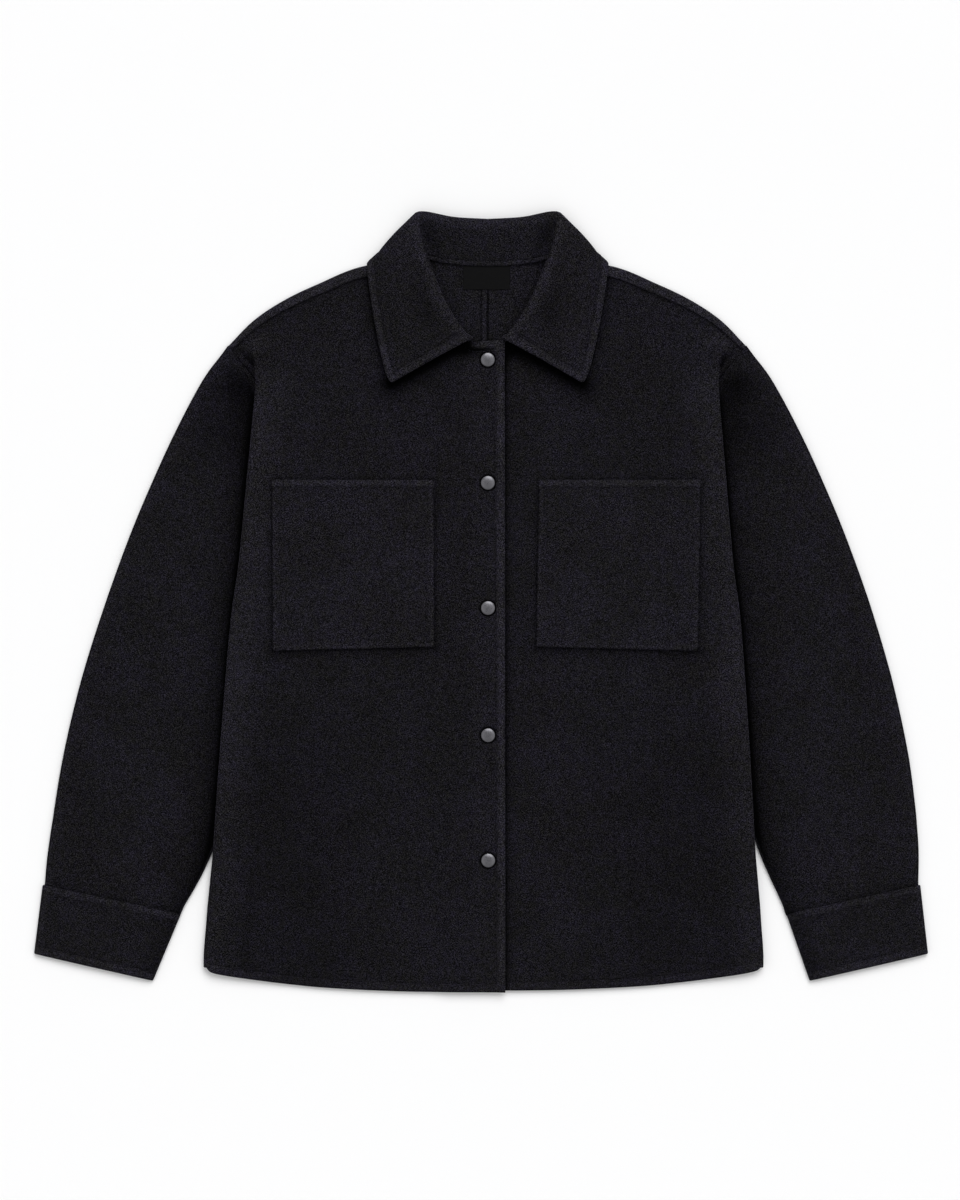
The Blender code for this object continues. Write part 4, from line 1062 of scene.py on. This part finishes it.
def pocketCloth(name, side, over):
    cloth = jacket["cloth"]
    corners = np.array(pocket["corners"])
    width = np.linalg.norm(corners[1] - corners[0])
    height = np.linalg.norm(corners[3] - corners[0])
    sideSteps = roundSteps + (3.0, 4.5)
    fromLeft = steps(width, pocket["columns"], sideSteps, sideSteps)[None, :]
    fromTop = steps(height, pocket["rows"], bandSteps, sideSteps)[:, None]
    fromLeft, fromTop = np.broadcast_arrays(fromLeft, fromTop)
    edge = np.minimum(fromLeft, width - fromLeft)
    end = np.minimum(fromTop, height - fromTop)
    edgeIn, endIn = roundedCorner(edge, end, pocket["radius"])
    s = np.where(fromLeft < width / 2, edgeIn, width - edgeIn)[..., None] / width
    t = np.where(fromTop < height / 2, endIn, height - endIn)[..., None] / height
    points = fourCorners(s, t, *corners)
    sewn = np.minimum(edge, height - fromTop)
    lift = feltBand(fromTop) * ease(edge, 0.5, 3.5)
    lift = lift - pocket["pressed"] * hump(sewn, pocket["pressedWidth"])
    lift = lift + creased(points, pocket["creases"]) * smooth(np.minimum(edge, end) / 22.0)
    grid = raisedTo(points, frontHeight(points, over) + cloth + pocket["gap"] + lift)
    thin = rounding(np.minimum(edge, end), cloth)
    # paler all over, painted highlight on the top band and just inside the sewn edge, painted shadow at the
    # sewn edge
    napAndPaintedShading = pocket["basePaler"] + paintedBandShading(fromTop)
    napAndPaintedShading = napAndPaintedShading + pocket["paintedRimLight"] * hump(np.minimum(sewn, fromTop + 9.0) - 3.0, 1.8)
    napAndPaintedShading = napAndPaintedShading - pocket["paintedEdgeShading"] * hump(sewn, pocket["edgeWidth"])
    return shell(name, lay(side, grid), cloth, thin, woolCloth, napAndPaintedShading=napAndPaintedShading), clothArea(grid * flatten)


pocketRight, pocketRightCut = pocketCloth("pocketRightCloth", -1, True)
pocketLeft, pocketLeftCut = pocketCloth("pocketLeftCloth", 1, False)


def snapCap(name, x, y):
    bpy.ops.object.select_all(action="DESELECT")
    first = snap["rings"][0]
    bpy.ops.mesh.primitive_circle_add(vertices=snap["sides"], radius=first[0] * mm, fill_type="NGON",
                                      location=(x * mm, y * mm, (snap["base"] + first[1]) * mm))
    cap = bpy.context.object
    bpy.ops.object.transform_apply(location=True, rotation=False, scale=False)
    bpy.ops.object.mode_set(mode="EDIT")
    bpy.ops.mesh.select_all(action="SELECT")
    centre = (x * mm, y * mm, snap["base"] * mm)
    for (wide, low), (radius, high) in zip(snap["rings"], snap["rings"][1:]):
        bpy.ops.mesh.extrude_region_move(TRANSFORM_OT_translate={"value": (0, 0, (high - low) * mm)})
        bpy.ops.transform.resize(value=(radius / wide, radius / wide, 1.0), center_override=centre)
    bpy.ops.mesh.select_all(action="SELECT")
    bpy.ops.mesh.normals_make_consistent(inside=False)
    bpy.ops.object.mode_set(mode="OBJECT")
    bpy.ops.object.shade_smooth()
    cap.name = cap.data.name = name
    cap.data.materials.append(capMetal)
    return cap


snapCaps = []
for number, up in enumerate(snap["heights"], start=1):
    x = middleAt(up) + float(overEdge(up)) - snap["inset"]
    snapCaps.append(snapCap("snapCap%d" % number, x, up))
print("stage: snaps made")

label = {"left": -23.5, "right": 21.4, "top": 324.0, "bottom": 301.1, "cloth": 0.6, "height": 2.8,
         "bulge": 0.25, "columns": 40, "rows": 22, "edgeSteps": (0.0, 0.08, 0.3, 0.8)}


def labelCloth(name):
    edgeSteps, cloth = label["edgeSteps"], label["cloth"]
    across = steps(label["right"] - label["left"], label["columns"], edgeSteps, edgeSteps)
    down = steps(label["top"] - label["bottom"], label["rows"], edgeSteps, edgeSteps)
    x, y = np.meshgrid(label["left"] + across, label["bottom"] + down)
    edge = np.minimum(np.minimum(across, across[::-1])[None, :], np.minimum(down, down[::-1])[:, None])
    bulge = label["bulge"] * np.sin(np.pi * across / across[-1]) * np.sin(np.pi * down / down[-1])[:, None]
    grid = np.stack([x, y, label["height"] + bulge], axis=-1)
    return shell(name, lay(1, grid), cloth, rounding(edge, cloth), labelRibbon), clothArea(grid)


neckLabel, neckLabelCut = labelCloth("neckLabelRibbon")


# Every piece stands for its node; flat sizes are the cuts that show, all round on the tubes.
sheets = (
    # piece, node, slot, flat width and length, cut area, what it lies on
    (frontRight, "front_right", "wool", (0.300, 0.715), frontRightCut, ["back_right"]),
    (frontLeft, "front_left", "wool", (0.300, 0.715), frontLeftCut, ["back_left"]),
    (backRight, "back_right", "wool", (0.275, 0.720), backRightCut, ["floor"]),
    (backLeft, "back_left", "wool", (0.275, 0.720), backLeftCut, ["floor"]),
    (sleeveRight, "sleeve_right", "wool", (0.500, 0.600), sleeveRightCut, ["floor"]),
    (sleeveLeft, "sleeve_left", "wool", (0.500, 0.600), sleeveLeftCut, ["floor"]),
    (cuffRight, "cuff_right", "wool", (0.278, 0.066), cuffRightCut, ["floor"]),
    (cuffLeft, "cuff_left", "wool", (0.278, 0.066), cuffLeftCut, ["floor"]),
    (collarPiece, "collar", "wool", (0.560, 0.115), collarCut, ["front_right", "front_left"]),
    (pocketRight, "pocket_right", "wool", (0.157, 0.164), pocketRightCut, ["front_right"]),
    (pocketLeft, "pocket_left", "wool", (0.157, 0.164), pocketLeftCut, ["front_left"]),
    (neckLabel, "neck_label", "ribbon", (0.0450, 0.0230), neckLabelCut, ["back_right", "back_left"]),
)
for piece, node, slot, flat, cut, under in sheets:
    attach(piece, "root")
    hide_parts(node)
    print("cut:", piece.name, flat, round(cut, 4), "share", round(cut / (flat[0] * flat[1]), 3))
for number, cap in enumerate(snapCaps, start=1):
    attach(cap, "root")
    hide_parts("snap_%d" % number)

studio = {
    "frameHeight": 1.1556, "frameMiddle": 0.0024, "distance": 4.0,
    "floor": (0.96, 0.96, 0.963, 1.0), "floorSize": 16.0,
    "world": 0.27,
    # soft lights: way they come from, height angle, width angle, share of the floor's light
    "lights": ((78.0, 50.0, 44.0, 0.42), (180.0, 48.0, 60.0, 0.11),
               (0.0, 48.0, 60.0, 0.11), (270.0, 55.0, 60.0, 0.06)),
    "floorLight": 3.42,
}
bpy.ops.object.select_all(action="DESELECT")
bpy.ops.mesh.primitive_plane_add(size=studio["floorSize"], location=(0.0, 0.0, -0.0004))
floor = bpy.context.object
floor.name = floor.data.name = "floor"
bpy.ops.object.transform_apply(location=True, rotation=False, scale=False)
paper = bpy.data.materials.new("palePaper")
paper.use_nodes = True
paperShader = paper.node_tree.nodes["Principled BSDF"]
paperShader.inputs["Base Color"].default_value = studio["floor"]
paperShader.inputs["Roughness"].default_value = 0.9
paperShader.inputs["Specular IOR Level"].default_value = 0.1
floor.data.materials.append(paper)

for index, (way, height, spread, share) in enumerate(studio["lights"], 1):
    lamp = bpy.data.lights.new(f"softLight{index}", "SUN")
    lamp.angle = math.radians(spread)
    lamp.energy = studio["floorLight"] * share / math.sin(math.radians(height))
    holder = bpy.data.objects.new(lamp.name, lamp)
    holder.rotation_euler = (math.radians(90.0 - height), 0.0, math.radians(way + 90.0))
    holder.location = (2.0 * math.cos(math.radians(way)), 2.0 * math.sin(math.radians(way)), 2.0)
    bpy.context.collection.objects.link(holder)
world = bpy.data.worlds.new("studioWorld")
world.use_nodes = True
world.node_tree.nodes["Background"].inputs["Color"].default_value = (1.0, 1.0, 1.0, 1.0)
world.node_tree.nodes["Background"].inputs["Strength"].default_value = studio["world"]
bpy.context.scene.world = world
bpy.context.scene.view_settings.view_transform = "Standard"

lens = bpy.data.cameras.new("camera")
lens.sensor_fit = "VERTICAL"
lens.sensor_height = 36.0
lens.lens = lens.sensor_height * studio["distance"] / studio["frameHeight"]
lens.clip_end = 50.0
camera = bpy.data.objects.new("camera", lens)
camera.location = (0.0, studio["frameMiddle"], studio["distance"])
bpy.context.collection.objects.link(camera)
bpy.context.scene.camera = camera
print("stage: studio set")
